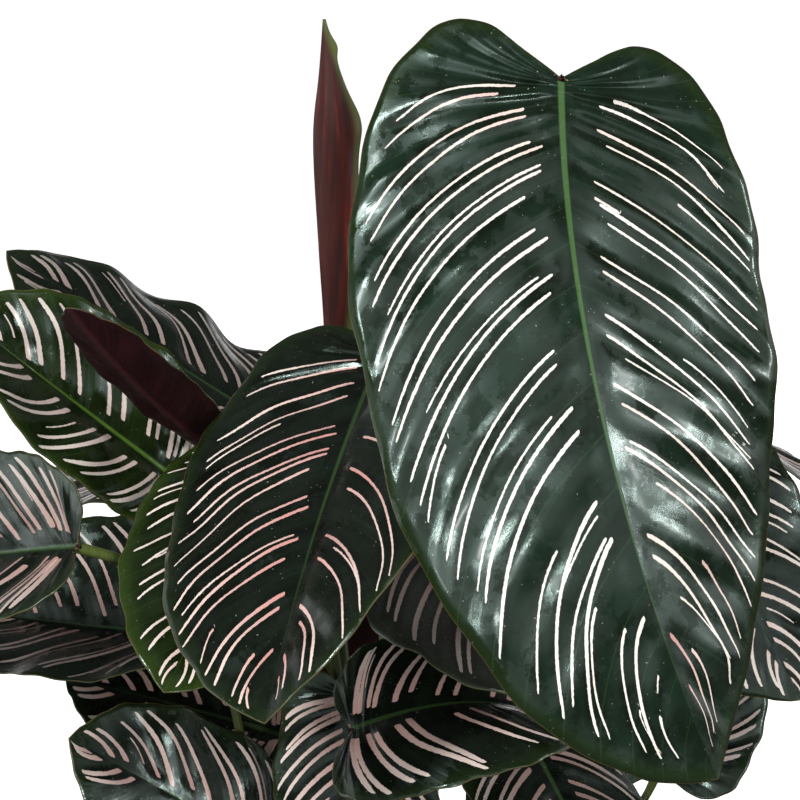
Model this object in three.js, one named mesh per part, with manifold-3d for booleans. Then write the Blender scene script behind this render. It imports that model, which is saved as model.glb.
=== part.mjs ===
// Potted pinstripe calathea: a nursery pot, its soil, the leaves' blades and their stalks, and one new leaf
// that is still rolled. Millimetres, +Z up. The pot stands on z = 0 and its middle is the Z axis. The plant
// is seen from -Y, so a heading of -90 degrees points at the viewer and 0 degrees points right.
import * as THREE from "three";
import Module from "manifold-3d";

const { sin, cos, min, max, PI } = Math;
const radians = THREE.MathUtils.degToRad;

// ---- Driving dimensions ----

const gap = 0.3; // between pieces that touch

const pot = {
  height: 168,
  baseRadius: 70,
  topRadius: 90, // outside of the wall just under the rim
  wall: 1.8,
  floor: 2,
  stepHeight: 142, // where the wall steps out for stacking
  step: 2.2,
  rimRadius: 95,
  rimHeight: 10,
  drainHoles: 6,
  drainHoleRadius: 4.5,
  drainCircle: 50,
  segments: 40,
};

const soil = {
  top: 152,
  unevenness: 1.6,
  holeDepth: 14,
  rings: 5,
  segments: 36,
};

const blade = {
  thickness: 0.8,
  rib: 1.2, // how far the midrib stands out below, at the stalk
  rows: 10, // side veins on each half
  rowsOfLarge: 14, // the same, on a blade longer than largeLength
  largeLength: 150,
  columns: [0, 0.12, 0.45, 0.75, 1], // shares of a side vein, midrib to margin
  steps: 32, // along the midrib
  cupReach: 0.36, // how far along its rise a side vein bends
  cupSpread: 0.68, // how far across
};

const stalk = {
  sides: 6,
  footRadius: 4.9, // the sheath, where it stands in the soil
  radius: 1.7,
  jointRadius: 2.1, // the swollen joint under the blade
  jointLength: 14,
  rings: [0, 0.1, 0.24, 0.42, 0.6, 0.76, 0.88, 0.95, 1],
  clearOfSoil: 3, // the sheath stays upright to this far above the soil
  seat: 1.5, // middle of the seat, ahead of the notch
};

const rolled = {
  foot: [-22.5, -2, 385],
  tip: [-27.5, -4, 562],
  bow: 3.5, // to the right, half way up
  sides: 18,
  overlap: 0.16, // how far the free margin stands over the roll, as a share of the radius
  turn: 1.8, // radians that the free margin winds round from foot to tip
  seam: -1.7, // direction of the free margin at the foot, radians from +X
  profile: [
    [0, 2.4],
    [0.12, 4.4],
    [0.3, 7.6],
    [0.48, 8.9],
    [0.66, 9.2],
    [0.74, 9],
    [0.8, 8],
    [0.86, 5.6],
    [0.92, 3.2],
    [1, 0.7],
  ],
  soil: [-23, -2],
};

// Half a blade's outline from the notch at the stalk to the tip: share of the half width, share of the
// length, and the share of the length at which that side vein leaves the midrib.
const outline = [
  [0, 0, 0],
  [0.16, -0.035, 0.001],
  [0.35, -0.07, 0.004],
  [0.56, -0.062, 0.008],
  [0.75, -0.002, 0.016],
  [0.9, 0.11, 0.035],
  [0.98, 0.23, 0.075],
  [1, 0.36, 0.145],
  [0.97, 0.5, 0.255],
  [0.88, 0.645, 0.4],
  [0.7, 0.785, 0.56],
  [0.44, 0.9, 0.72],
  [0.17, 0.97, 0.87],
  [0, 1, 1],
];

// Each leaf: base is the notch of its blade; heading, pitch, roll set the blade there, in degrees; droop,
// sweep, twist turn it from there to the tip; fold and curl are for the left and right halves, seen from
// the stalk; wave is height, count and phase along the margin; soil is where its stalk stands; arrive is
// the angle between stalk and blade; reach and lean shape the stalk's curve.
const usual = {
  droop: 22,
  sweep: 0,
  roll: 0,
  twist: 0,
  fold: [8, 8],
  curl: [20, 22],
  wave: [2, 3, 0],
  arrive: 60,
  reach: 35,
  lean: 0.1,
};

const leaves = {
  front: {
    base: [52, -117, 551], heading: -93, pitch: -58, droop: 37, sweep: 37, roll: -8, twist: -20,
    length: 242, width: 146, fold: [-19, 0], curl: [-6, 21], wave: [2.5, 2.5, 0.6],
    soil: [30, 8], arrive: 70, reach: 80, lean: -0.31,
  },
  second: {
    base: [-6, -64, 451], heading: -111, pitch: -33, droop: 6, sweep: 7, roll: 15, twist: 1,
    length: 162, width: 111, fold: [20, 16], curl: [26, 11], wave: [1.5, 3, 0],
    soil: [0, 27], arrive: 15, reach: 71, lean: -0.12,
  },
  third: {
    base: [-38, -55, 412], heading: -108, pitch: -20, droop: 18, sweep: -1, roll: -15, twist: -9,
    length: 119, width: 78, fold: [8, 9], curl: [24, 26], wave: [1.5, 3, 1],
    soil: [-6, -27], arrive: 50, reach: 58, lean: 0.09,
  },
  left_bright: {
    base: [-81, -20, 393], heading: -159, pitch: 40, droop: -5, sweep: 3, roll: -45, twist: -4,
    length: 110, width: 73, fold: [14, 34], curl: [8, 12], wave: [1.5, 3, 0.5],
    soil: [-2, 15], arrive: 15, reach: 32, lean: -0.5,
  },
  left_far: {
    base: [-30, 60, 384], heading: 180, pitch: 32, droop: 2, sweep: -8, roll: -27, twist: 4,
    length: 151, width: 92, fold: [6, 1], curl: [20, 17], wave: [4, 3.5, 1.2],
    soil: [-12, 26], arrive: 55, reach: 38, lean: 0.09,
  },
  left_glossy: {
    base: [-112, -84, 386], heading: -218, pitch: -12, droop: 8, sweep: 3, roll: -62,
    length: 104, width: 75, fold: [36, 36], curl: [18, 9], wave: [1, 3, 0],
    soil: [-54, 34], arrive: 65, reach: 130, lean: -0.1,
  },
  left_dark: {
    base: [-70, -10, 331], heading: -206, pitch: -5, droop: 0, sweep: -7, roll: -31, twist: -8,
    length: 124, width: 92, fold: [34, 29], curl: [18, 5],
    soil: [-46, 3], arrive: 61, reach: 11, lean: 0.22,
  },
  left_underside: {
    base: [-71, -30, 410], heading: -129, pitch: 35, droop: -11, sweep: 5, roll: 13, twist: -1,
    length: 92, width: 42, fold: [20, 17], curl: [23, -7], wave: [0.8, 3, 0],
    soil: [-30, 48], arrive: 45, reach: 120, lean: -0.45,
  },
  low_left_upper: {
    base: [-46, 20, 281], heading: -188, pitch: 15, droop: 13, sweep: -3, roll: -39,
    length: 92, width: 56, fold: [6, 6], curl: [20, 20], wave: [1.5, 3, 0],
    soil: [-18, 11], lean: 0.13,
  },
  low_left_lower: {
    base: [-38, -20, 240], heading: -149, pitch: 39, droop: 3, sweep: 3, roll: -60, twist: -4,
    length: 117, width: 75, fold: [5, 6], curl: [22, 19], wave: [1.5, 3, 0],
    soil: [-17, -15], arrive: 61, reach: 39, lean: 0.05,
  },
  low_centre: {
    base: [-17, -104, 326], heading: -25, pitch: 29, droop: 100, sweep: 29, roll: 50, twist: -31,
    length: 89, width: 77, fold: [6, 19], curl: [24, 33], wave: [1, 3, 0],
    soil: [-10, -52], arrive: 72, reach: 34, lean: 0.14,
  },
  low_hanging: {
    base: [-18, -32, 316], heading: -88, pitch: -72, droop: 14, sweep: 1, roll: 19, twist: 2,
    length: 110, width: 66, fold: [6, 5], curl: [20, 21], wave: [1.5, 3, 0],
    soil: [-5, -12], arrive: 57, reach: 37, lean: 0.09,
  },
  shaded: {
    base: [3, -22, 388], heading: -64, pitch: -15, droop: 15, sweep: 6, roll: 9, twist: -2,
    length: 125, width: 87, fold: [6, 5], curl: [20, 25],
    soil: [6, -9], arrive: 53, reach: 37, lean: 0.09,
  },
  under_front: {
    base: [45, -20, 300], heading: -55, pitch: -38, droop: 20,
    length: 120, width: 74, fold: [6, 6], curl: [20, 20],
    soil: [20, -10], arrive: 64, reach: 39, lean: 0.06,
  },
  right_far: {
    base: [106, 60, 252], heading: 81, pitch: 57, droop: 20, roll: 11,
    length: 142, width: 92, fold: [6, 6], curl: [20, 20],
    soil: [48, 26],
  },
  right: {
    base: [82, -20, 426], heading: -38, pitch: -50, droop: 22, sweep: 3, roll: 39,
    length: 130, width: 80, fold: [6, 6], curl: [20, 20], wave: [1.5, 3, 0],
    soil: [35, -7], arrive: 62, reach: 36, lean: 0.06,
  },
  back_tall: {
    base: [58, 60, 492], heading: 82, pitch: -8, droop: 62, roll: 4,
    length: 168, width: 104, curl: [18, 22], wave: [3, 3, 0],
    soil: [27, 25], arrive: 61, lean: 0.12,
  },
  back_right: {
    base: [92, 45, 398], heading: 28, pitch: 2, droop: 52, roll: 6,
    length: 134, width: 82, fold: [10, 8], curl: [20, 24], wave: [2, 3, 0.8],
    soil: [41, 16], arrive: 54, reach: 34,
  },
  back_left: {
    base: [-62, 82, 368], heading: 150, pitch: 6, droop: 34, roll: -8,
    length: 126, width: 78, curl: [22, 20], wave: [2, 3, 0.4],
    soil: [-29, 35], arrive: 61, reach: 37, lean: 0.07,
  },
  back_middle: {
    base: [-12, 98, 352], heading: 104, pitch: -34, droop: 36,
    length: 132, width: 82, fold: [8, 10], wave: [2, 3, 2],
    soil: [-6, 42], arrive: 59, reach: 37,
  },
  back_low: {
    base: [28, 100, 318], heading: 74, pitch: -28, droop: 36, roll: 6,
    length: 118, width: 74, curl: [22, 22],
    soil: [9, 46], arrive: 59, reach: 36,
  },
  low_right: {
    base: [100, -20, 232], heading: -14, pitch: 12, droop: 52, roll: 4,
    length: 120, width: 76, curl: [22, 22],
    soil: [47, -6], arrive: 58, reach: 34, lean: 0.11,
  },
  low_front: {
    base: [28, -104, 236], heading: -72, pitch: 8, droop: 56,
    length: 108, width: 68, curl: [22, 22], wave: [2, 3, 1],
    soil: [12, -42], arrive: 64, lean: 0.14,
  },
  low_left: {
    base: [-92, 20, 232], heading: 172, pitch: 10, droop: 50,
    length: 110, width: 70, curl: [22, 22], wave: [2, 3, 1.5],
    soil: [-36, 10], arrive: 61, reach: 34, lean: 0.09,
  },
  low_back: {
    base: [-20, 112, 226], heading: 100, pitch: 8, droop: 50,
    length: 104, width: 66, curl: [22, 22], wave: [2, 3, 0.7],
    soil: [-14, 51], reach: 38, lean: 0.13,
  },
};
for (const [name, leaf] of Object.entries(leaves)) leaves[name] = { ...usual, ...leaf };

// ---- Materials ----

const plain = (color, roughness) => new THREE.MeshStandardMaterial({ color, roughness, metalness: 0 });
const leafGreen = plain(0x23352a, 0.35);
const burgundy = plain(0x4a1a22, 0.5);
const stalkGreen = plain(0x6b6f3a, 0.5);
const peat = plain(0x2f241c, 0.95);
const potPlastic = plain(0x2b2d2f, 0.6);

// ---- Geometry helpers ----

const vector = ([x, y, z]) => new THREE.Vector3(x, y, z);
const blend = (a, b, t) => a.clone().lerp(b, t);

function closedMesh(points, triangles) {
  const geometry = new THREE.BufferGeometry().setFromPoints(points);
  geometry.setIndex(triangles.flat());
  geometry.computeVertexNormals();
  return geometry;
}

// Rings of equally many points, joined into a closed skin with a fan over each end. Seen from the last
// ring, the points of each ring run anticlockwise.
function loft(rings) {
  const sides = rings[0].length;
  const points = rings.flat();
  const triangles = [];
  for (let j = 0; j + 1 < rings.length; j++)
    for (let i = 0; i < sides; i++) {
      const a = j * sides + i;
      const b = j * sides + ((i + 1) % sides);
      triangles.push([a, b, b + sides], [a, b + sides, a + sides]);
    }
  const last = (rings.length - 1) * sides;
  for (let i = 1; i + 1 < sides; i++) {
    triangles.push([0, i + 1, i]);
    triangles.push([last, last + i, last + i + 1]);
  }
  return closedMesh(points, triangles);
}

// A uniform Catmull-Rom curve through rows of numbers, at t from 0 to 1.
function smooth(rows, t) {
  const spans = rows.length - 1;
  const i = min(Math.floor(t * spans), spans - 1);
  const s = t * spans - i;
  const [before, from, to, after] = [rows[max(i - 1, 0)], rows[i], rows[i + 1], rows[min(i + 2, spans)]];
  return from.map((p, k) => {
    const leave = (to[k] - before[k]) / 2;
    const enter = (after[k] - p) / 2;
    const cubic = 2 * p - 2 * to[k] + leave + enter;
    const square = 3 * to[k] - 3 * p - 2 * leave - enter;
    return ((cubic * s + square) * s + leave) * s + p;
  });
}

// ---- Blades ----

// The midrib as frames from notch to tip: point, ahead, left and up.
function midribOf(leaf) {
  const heading = radians(leaf.heading);
  const pitch = radians(leaf.pitch);
  const roll = radians(leaf.roll);
  const ahead = new THREE.Vector3(cos(pitch) * cos(heading), cos(pitch) * sin(heading), sin(pitch));
  const left = new THREE.Vector3(-sin(heading), cos(heading), 0);
  const up = ahead.clone().cross(left);
  left.applyAxisAngle(ahead, roll);
  up.applyAxisAngle(ahead, roll);
  const point = vector(leaf.base);
  const frames = [{ point: point.clone(), ahead: ahead.clone(), left: left.clone(), up: up.clone() }];
  for (let i = 0; i < blade.steps; i++) {
    const droop = radians(leaf.droop) / blade.steps;
    ahead.applyAxisAngle(left, droop);
    up.applyAxisAngle(left, droop);
    const sweep = radians(leaf.sweep) / blade.steps;
    ahead.applyAxisAngle(up, sweep);
    left.applyAxisAngle(up, sweep);
    const twist = radians(leaf.twist) / blade.steps;
    left.applyAxisAngle(ahead, twist);
    up.applyAxisAngle(ahead, twist);
    point.addScaledVector(ahead, leaf.length / blade.steps);
    frames.push({ point: point.clone(), ahead: ahead.clone(), left: left.clone(), up: up.clone() });
  }
  return frames;
}

// The frame at a distance along the midrib; behind the notch it runs straight back.
function frameAt(frames, leaf, along) {
  const t = min(max(along / leaf.length, 0), 1) * blade.steps;
  const i = min(Math.floor(t), blade.steps - 1);
  const [a, b] = [frames[i], frames[i + 1]];
  const frame = {
    point: blend(a.point, b.point, t - i),
    ahead: blend(a.ahead, b.ahead, t - i),
    left: blend(a.left, b.left, t - i),
    up: blend(a.up, b.up, t - i),
  };
  frame.point.addScaledVector(frame.ahead, min(along, 0));
  return frame;
}

// The top point and the matching bottom point at a share of one side vein. side is 1 for the left half.
function bladePoints(leaf, frames, side, share, vein) {
  const [across, rise, leave] = smooth(outline, vein);
  const halfWidth = leaf.width / 2;
  const edge = { x: across * halfWidth, y: rise * leaf.length };
  const start = leave * leaf.length;
  const bend = { x: blade.cupSpread * edge.x, y: start + blade.cupReach * (edge.y - start) };
  const rest = 1 - share;
  const x = 2 * rest * share * bend.x + share * share * edge.x;
  const y = rest * rest * start + 2 * rest * share * bend.y + share * share * edge.y;

  const half = side > 0 ? 0 : 1;
  const fold = radians(leaf.fold[half]);
  const bendPerMm = radians(leaf.curl[half] || 0.01) / halfWidth;
  const slope = fold - bendPerMm * x;
  const out = (sin(fold) - sin(slope)) / bendPerMm;
  const [waveHeight, waves, phase] = leaf.wave;
  const turnOfWave = 2 * PI * waves * (y / leaf.length) + phase + (side > 0 ? 0 : 1.7);
  const height =
    (cos(slope) - cos(fold)) / bendPerMm + waveHeight * (x / halfWidth) ** 2 * sin(turnOfWave);

  const frame = frameAt(frames, leaf, y);
  const top = frame.point.clone().addScaledVector(frame.left, side * out).addScaledVector(frame.up, height);
  const tilt = share > 0 ? slope : 0;
  const normal = frame.up.clone().multiplyScalar(cos(tilt)).addScaledVector(frame.left, -side * sin(tilt));
  const rib = share > 0 ? 0 : blade.rib * (1 - vein);
  return [top, top.clone().addScaledVector(normal, -blade.thickness - rib)];
}

function bladeGeometry(leaf) {
  const frames = midribOf(leaf);
  const { columns } = blade;
  const rows = leaf.length > blade.largeLength ? blade.rowsOfLarge : blade.rows;
  const last = columns.length - 1;
  const points = [];
  const triangles = [];
  const numberOf = new Map();

  // Both halves share the midrib, and each end of the midrib is one point.
  const vertex = (side, i, j) => {
    const atEnd = j === 0 || j === rows;
    const key = atEnd || i === 0 ? "midrib " + j : side + " " + i + " " + j;
    if (!numberOf.has(key)) {
      numberOf.set(key, points.length);
      points.push(...bladePoints(leaf, frames, side, atEnd ? 0 : columns[i], j / rows));
    }
    return numberOf.get(key);
  };
  const face = (side, a, b, c) => {
    if (new Set([a, b, c]).size === 3) triangles.push(side > 0 ? [a, b, c] : [a, c, b]);
  };

  for (const side of [1, -1])
    for (let j = 0; j < rows; j++) {
      for (let i = 0; i < last; i++) {
        const [a, b] = [vertex(side, i, j), vertex(side, i + 1, j)];
        const [d, c] = [vertex(side, i, j + 1), vertex(side, i + 1, j + 1)];
        face(side, a, c, b);
        face(side, a, d, c);
        face(side, a + 1, b + 1, c + 1);
        face(side, a + 1, c + 1, d + 1);
      }
      const [a, b] = [vertex(side, last, j), vertex(side, last, j + 1)];
      face(side, a, b + 1, a + 1);
      face(side, a, b, b + 1);
    }
  return closedMesh(points, triangles);
}

// ---- Stalks ----

function stalkRadius(share, length) {
  const sheath = (stalk.footRadius - stalk.radius) * (1 - share) ** 1.5;
  const fromBlade = (1 - share) * length;
  const joint = (stalk.jointRadius - stalk.radius) * max(0, 1 - fromBlade / stalk.jointLength) ** 0.5;
  return stalk.radius + sheath + joint;
}

// A stalk from the bottom of its hole in the soil to a seat, along a cubic curve. The last ring lies flat
// against the seat's normal.
function stalkGeometry(soilPoint, seat, seatNormal, arrival, reach, lean) {
  const top = soil.top + stalk.clearOfSoil;
  const foot = new THREE.Vector3(soilPoint[0], soilPoint[1], top);
  const chord = seat.clone().sub(foot);
  const length = chord.length();
  const rise = foot.clone().add(new THREE.Vector3(chord.x * lean, chord.y * lean, 0.4 * length));
  const approach = seat.clone().addScaledVector(arrival, -reach);
  const curve = new THREE.CubicBezierCurve3(foot, rise, approach, seat);
  const bottom = new THREE.Vector3(foot.x, foot.y, soil.top - soil.holeDepth + gap);

  const rings = [];
  let right = new THREE.Vector3(1, 0, 0);
  const addRing = (centre, along, radius) => {
    right = right.clone().addScaledVector(along, -right.dot(along)).normalize();
    const front = along.clone().cross(right);
    rings.push(
      Array.from({ length: stalk.sides }, (_, i) => {
        const turn = (2 * PI * i) / stalk.sides;
        const point = centre.clone().addScaledVector(right, radius * cos(turn));
        return point.addScaledVector(front, radius * sin(turn));
      }),
    );
  };
  addRing(bottom, new THREE.Vector3(0, 0, 1), stalk.footRadius);
  for (const share of stalk.rings) {
    const along = share === 0 ? new THREE.Vector3(0, 0, 1) : curve.getTangent(share);
    addRing(curve.getPoint(share), share === 1 ? seatNormal : along, stalkRadius(share, length));
  }
  return loft(rings);
}

function leafStalk(leaf) {
  const { point, ahead, up } = midribOf(leaf)[0];
  const seat = point.clone().addScaledVector(ahead, stalk.seat);
  seat.addScaledVector(up, -(blade.thickness + blade.rib + gap));
  const arrive = radians(leaf.arrive);
  const arrival = up.clone().multiplyScalar(sin(arrive)).addScaledVector(ahead, cos(arrive));
  return stalkGeometry(leaf.soil, seat, up, arrival, leaf.reach, leaf.lean);
}

// ---- The rolled leaf ----

function rolledGeometry() {
  const foot = vector(rolled.foot);
  const tip = vector(rolled.tip);
  const rings = rolled.profile.map(([share, radius]) => {
    const centre = blend(foot, tip, share);
    centre.x += rolled.bow * sin(PI * share);
    const seam = rolled.seam + rolled.turn * share;
    return Array.from({ length: rolled.sides }, (_, i) => {
      const t = i / (rolled.sides - 1);
      const spiral = radius * (1 - rolled.overlap * (1 - t));
      const turn = seam + 2 * PI * t * 0.995;
      return centre.clone().add(new THREE.Vector3(spiral * cos(turn), spiral * sin(turn), 0));
    });
  });
  return loft(rings);
}

function rolledStalk() {
  const up = new THREE.Vector3(0, 0, 1);
  const seat = vector(rolled.foot).addScaledVector(up, -gap);
  return stalkGeometry(rolled.soil, seat, up, up, 80, 0.1);
}

// ---- Pot and soil ----

const wasm = await Module();
wasm.setup();

function solidOf(geometry) {
  return new wasm.Manifold(
    new wasm.Mesh({
      numProp: 3,
      vertProperties: geometry.attributes.position.array,
      triVerts: new Uint32Array(geometry.index.array),
    }),
  );
}

function geometryOf(solid) {
  const mesh = solid.getMesh();
  const geometry = new THREE.BufferGeometry();
  geometry.setAttribute("position", new THREE.BufferAttribute(mesh.vertProperties.slice(), 3));
  geometry.setIndex(new THREE.BufferAttribute(mesh.triVerts.slice(), 1));
  geometry.computeVertexNormals();
  return geometry;
}

// A closed profile of [radius, height], listed anticlockwise from the middle of the bottom to the middle of
// the top, turned round Z.
function turned(profile, segments) {
  const points = [];
  const triangles = [];
  const numberOf = profile.map(([radius, z]) => {
    const first = points.length;
    if (radius === 0) {
      points.push(new THREE.Vector3(0, 0, z));
      return Array(segments).fill(first);
    }
    for (let i = 0; i < segments; i++) {
      const turn = (2 * PI * i) / segments;
      points.push(new THREE.Vector3(radius * cos(turn), radius * sin(turn), z));
    }
    return Array.from({ length: segments }, (_, i) => first + i);
  });
  for (let j = 0; j + 1 < profile.length; j++)
    for (let i = 0; i < segments; i++) {
      const next = (i + 1) % segments;
      const [a, b, c, d] = [numberOf[j][i], numberOf[j][next], numberOf[j + 1][next], numberOf[j + 1][i]];
      if (a !== b) triangles.push([a, b, c]);
      if (c !== d) triangles.push([a, c, d]);
    }
  return closedMesh(points, triangles);
}

// Radius of the pot's outside and inside at a height below the step, and the height where the step ends.
const taper = (pot.topRadius - pot.step - pot.baseRadius) / pot.stepHeight;
const outerRadius = (z) => pot.baseRadius + taper * z;
const innerRadius = (z) => outerRadius(z) - pot.wall;
const stepTop = pot.stepHeight + 1.5 * pot.step;

function potGeometry() {
  const rimBottom = pot.height - pot.rimHeight;
  const profile = [
    [0, 0],
    [pot.baseRadius - 2, 0],
    [outerRadius(1.5), 1.5],
    [outerRadius(pot.stepHeight), pot.stepHeight],
    [outerRadius(stepTop) + pot.step, stepTop],
    [pot.topRadius, rimBottom],
    [pot.rimRadius - 1, rimBottom],
    [pot.rimRadius, rimBottom + 1.5],
    [pot.rimRadius, pot.height - 2],
    [pot.rimRadius - 1.5, pot.height],
    [pot.topRadius - 0.5, pot.height],
    [pot.topRadius - pot.wall, pot.height - 2],
    [pot.topRadius - pot.wall, rimBottom],
    [innerRadius(stepTop) + pot.step, stepTop + 0.6],
    [innerRadius(pot.stepHeight), pot.stepHeight + 0.6],
    [innerRadius(pot.floor), pot.floor],
    [0, pot.floor],
  ];
  let solid = solidOf(turned(profile, pot.segments));
  for (let i = 0; i < pot.drainHoles; i++) {
    const turn = (360 * i) / pot.drainHoles;
    const drill = wasm.Manifold.cylinder(4 * pot.floor, pot.drainHoleRadius, pot.drainHoleRadius, 12);
    solid = solid.subtract(drill.translate([pot.drainCircle, 0, -pot.floor]).rotate([0, 0, turn]));
  }
  return geometryOf(solid);
}

// Height of the soil's surface: two crossed slow waves.
const soilHeight = (x, y) => soil.top + soil.unevenness * (sin(x / 17 + 1) * cos(y / 13) - 0.3);

function soilGeometry() {
  const bottom = pot.floor + gap;
  const clear = 2 * gap; // the round pot and soil have different facets
  const radius = pot.topRadius - pot.wall - clear;
  const profile = [
    [0, bottom],
    [innerRadius(bottom) - clear, bottom],
    [innerRadius(pot.stepHeight) - clear, pot.stepHeight + 2 * clear],
    [radius, stepTop + 2 * clear],
  ];
  for (let i = soil.rings; i >= 0; i--) profile.push([(radius * i) / soil.rings, soil.top]);
  const geometry = turned(profile, soil.segments);
  const position = geometry.attributes.position;
  for (let i = 0; i < position.count; i++)
    if (position.getZ(i) === soil.top) position.setZ(i, soilHeight(position.getX(i), position.getY(i)));

  let solid = solidOf(geometry);
  const holeRadius = (stalk.footRadius + gap) / cos(PI / 10);
  const places = [...Object.values(leaves).map((leaf) => leaf.soil), rolled.soil];
  for (const [x, y] of places) {
    const drill = wasm.Manifold.cylinder(2 * soil.holeDepth, holeRadius, holeRadius, 10);
    solid = solid.subtract(drill.translate([x, y, soil.top - soil.holeDepth]));
  }
  return geometryOf(solid);
}

// ---- The plant in its pot ----

const calathea = new THREE.Group();

function add(name, geometry, material) {
  const mesh = new THREE.Mesh(geometry, material);
  mesh.name = name;
  calathea.add(mesh);
}

add("pot", potGeometry(), potPlastic);
add("soil", soilGeometry(), peat);
for (const [name, leaf] of Object.entries(leaves)) {
  add("blade_" + name, bladeGeometry(leaf), leafGreen);
  add("stalk_" + name, leafStalk(leaf), stalkGreen);
}
add("blade_rolled", rolledGeometry(), burgundy);
add("stalk_rolled", rolledStalk(), stalkGreen);

export default calathea;
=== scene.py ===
# A potted calathea, the pinstripe kind: dark glossy blades with paired pale stripes on long stalks,
# standing in potting soil in a plain nursery pot. Sizes are in millimetres unless a note says otherwise.
import math
import random

import bpy
import numpy as np
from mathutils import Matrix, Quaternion, Vector, noise


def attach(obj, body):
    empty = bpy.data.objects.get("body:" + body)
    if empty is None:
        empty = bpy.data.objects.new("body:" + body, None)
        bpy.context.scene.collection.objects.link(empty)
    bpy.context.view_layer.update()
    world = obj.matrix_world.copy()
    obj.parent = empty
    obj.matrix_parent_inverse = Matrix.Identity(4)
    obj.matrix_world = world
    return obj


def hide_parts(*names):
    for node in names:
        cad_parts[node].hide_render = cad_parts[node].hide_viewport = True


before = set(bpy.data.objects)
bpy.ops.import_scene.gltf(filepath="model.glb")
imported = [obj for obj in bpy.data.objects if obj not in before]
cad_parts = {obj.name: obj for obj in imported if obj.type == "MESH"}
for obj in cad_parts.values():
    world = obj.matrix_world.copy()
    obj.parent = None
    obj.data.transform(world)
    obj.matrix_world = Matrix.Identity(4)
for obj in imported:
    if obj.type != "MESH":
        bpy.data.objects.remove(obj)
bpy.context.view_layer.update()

mm = 0.001  # metres in a millimetre
print("frame loaded:", len(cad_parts), "nodes")


# Camera: a long lens a little above the top leaves, looking along +Y

view = {"target": (0, 0, 420), "elevation": 12, "distance": 1000, "lens": 120}


def makeCamera():
    tilt = math.radians(view["elevation"])
    back = Vector((0, -math.cos(tilt), math.sin(tilt)))
    place = (Vector(view["target"]) + back * view["distance"]) * mm
    bpy.ops.object.camera_add(location=place, rotation=(math.pi / 2 - tilt, 0, 0))
    camera = bpy.context.object
    camera.name = "camera"
    camera.data.lens = view["lens"]
    camera.data.clip_start = 0.01
    bpy.context.scene.camera = camera


makeCamera()


# Small helpers

def colour(hexValue):  # an sRGB hex value as linear RGBA
    parts = [int(hexValue[i:i + 2], 16) / 255 for i in (1, 3, 5)]
    return (*[p / 12.92 if p <= 0.04045 else ((p + 0.055) / 1.055) ** 2.4 for p in parts], 1)


def addNode(tree, kind, settings=None, inputs=None):  # values set a socket, sockets are linked to it
    node = tree.nodes.new(kind)
    for key, value in (settings or {}).items():
        setattr(node, key, value)
    for key, value in (inputs or {}).items():
        if isinstance(value, bpy.types.NodeSocket):
            tree.links.new(value, node.inputs[key])
        else:
            node.inputs[key].default_value = value
    return node


def newMaterial(name):
    material = bpy.data.materials.new(name)
    material.use_nodes = True
    tree = material.node_tree
    tree.nodes.clear()
    return material, tree, addNode(tree, "ShaderNodeTexCoord").outputs


def layOver(tree, base, top, value, start, end, most, course="SMOOTHSTEP"):  # up to most, where value is end
    amount = addNode(tree, "ShaderNodeMapRange", {"interpolation_type": course}, {
        "Value": value, "From Min": start, "From Max": end, "To Min": 0, "To Max": most})
    return addNode(tree, "ShaderNodeMix", {"data_type": "RGBA"}, {
        0: amount.outputs[0], 6: base, 7: top}).outputs[2]


def deselectAll():
    if bpy.context.object and bpy.context.object.mode != "OBJECT":
        bpy.ops.object.mode_set(mode="OBJECT")
    bpy.ops.object.select_all(action="DESELECT")


def select(piece):
    deselectAll()
    piece.select_set(True)
    bpy.context.view_layer.objects.active = piece


def applyAll(piece):  # every modifier, in order
    select(piece)
    for modifier in list(piece.modifiers):
        bpy.ops.object.modifier_apply(modifier=modifier.name)


def finish(piece, name, slot, *nodes):
    piece.name = piece.data.name = name
    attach(piece, "root")
    if nodes:
        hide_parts(*nodes)


def setAttribute(mesh, name, values):  # one number, or three, for each vertex
    values = np.asarray(values, np.float32)
    if values.ndim == 1:
        mesh.attributes.new(name, "FLOAT", "POINT").data.foreach_set("value", values)
    else:
        mesh.attributes.new(name, "FLOAT_VECTOR", "POINT").data.foreach_set("vector", values.ravel())


def ease(value, low, high):  # 0 below low, 1 above high, smooth between
    t = np.clip((value - low) / (high - low), 0, 1)
    return t * t * (3 - 2 * t)


# The leaves

# Half a blade's outline, notch to tip: share of the half width, share of the length, and where on the
# midrib the side vein that ends there leaves it.
outline = [
    (0.00, 0.000, 0.000),
    (0.16, -0.035, 0.001),
    (0.35, -0.070, 0.004),
    (0.56, -0.062, 0.008),
    (0.75, -0.002, 0.016),
    (0.90, 0.110, 0.035),
    (0.98, 0.230, 0.075),
    (1.00, 0.360, 0.145),
    (0.97, 0.500, 0.255),
    (0.88, 0.645, 0.400),
    (0.70, 0.785, 0.560),
    (0.44, 0.900, 0.720),
    (0.17, 0.970, 0.870),
    (0.00, 1.000, 1.000),
]

blade = {
    "steps": 32,  # steps of the midrib's bending
    "cupReach": 0.36,  # a side vein's bend towards the tip
    "cupSpread": 0.68,
    "thickness": 0.5,
    "rib": 1.1,  # what the midrib adds below
    "ribWidth": 1.7,
    "groove": 0.35,  # depth of the midrib's groove on top
    "grooveWidth": 2.2,
    "quilting": 0.55,  # height of the soft bands between the side veins
    "ripple": 0.7,  # height of the slow dents
    "frill": 0.6,  # how uneven the margin is
    "frillWaves": (43, 97),  # radians from notch to tip
    "lobeAt": 0.21,  # the vein that ends in the middle of a lobe, and how far the lobe spreads
    "lobeSpread": 0.1,
    "columns": 44,
    "crowding": 1.4,  # above 1, the columns crowd to the midrib
    "merge": 0.02,  # vertices nearer than this become one
    "wavesApart": 1.7,  # radians, from the wave of the left margin to that of the right
}

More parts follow.
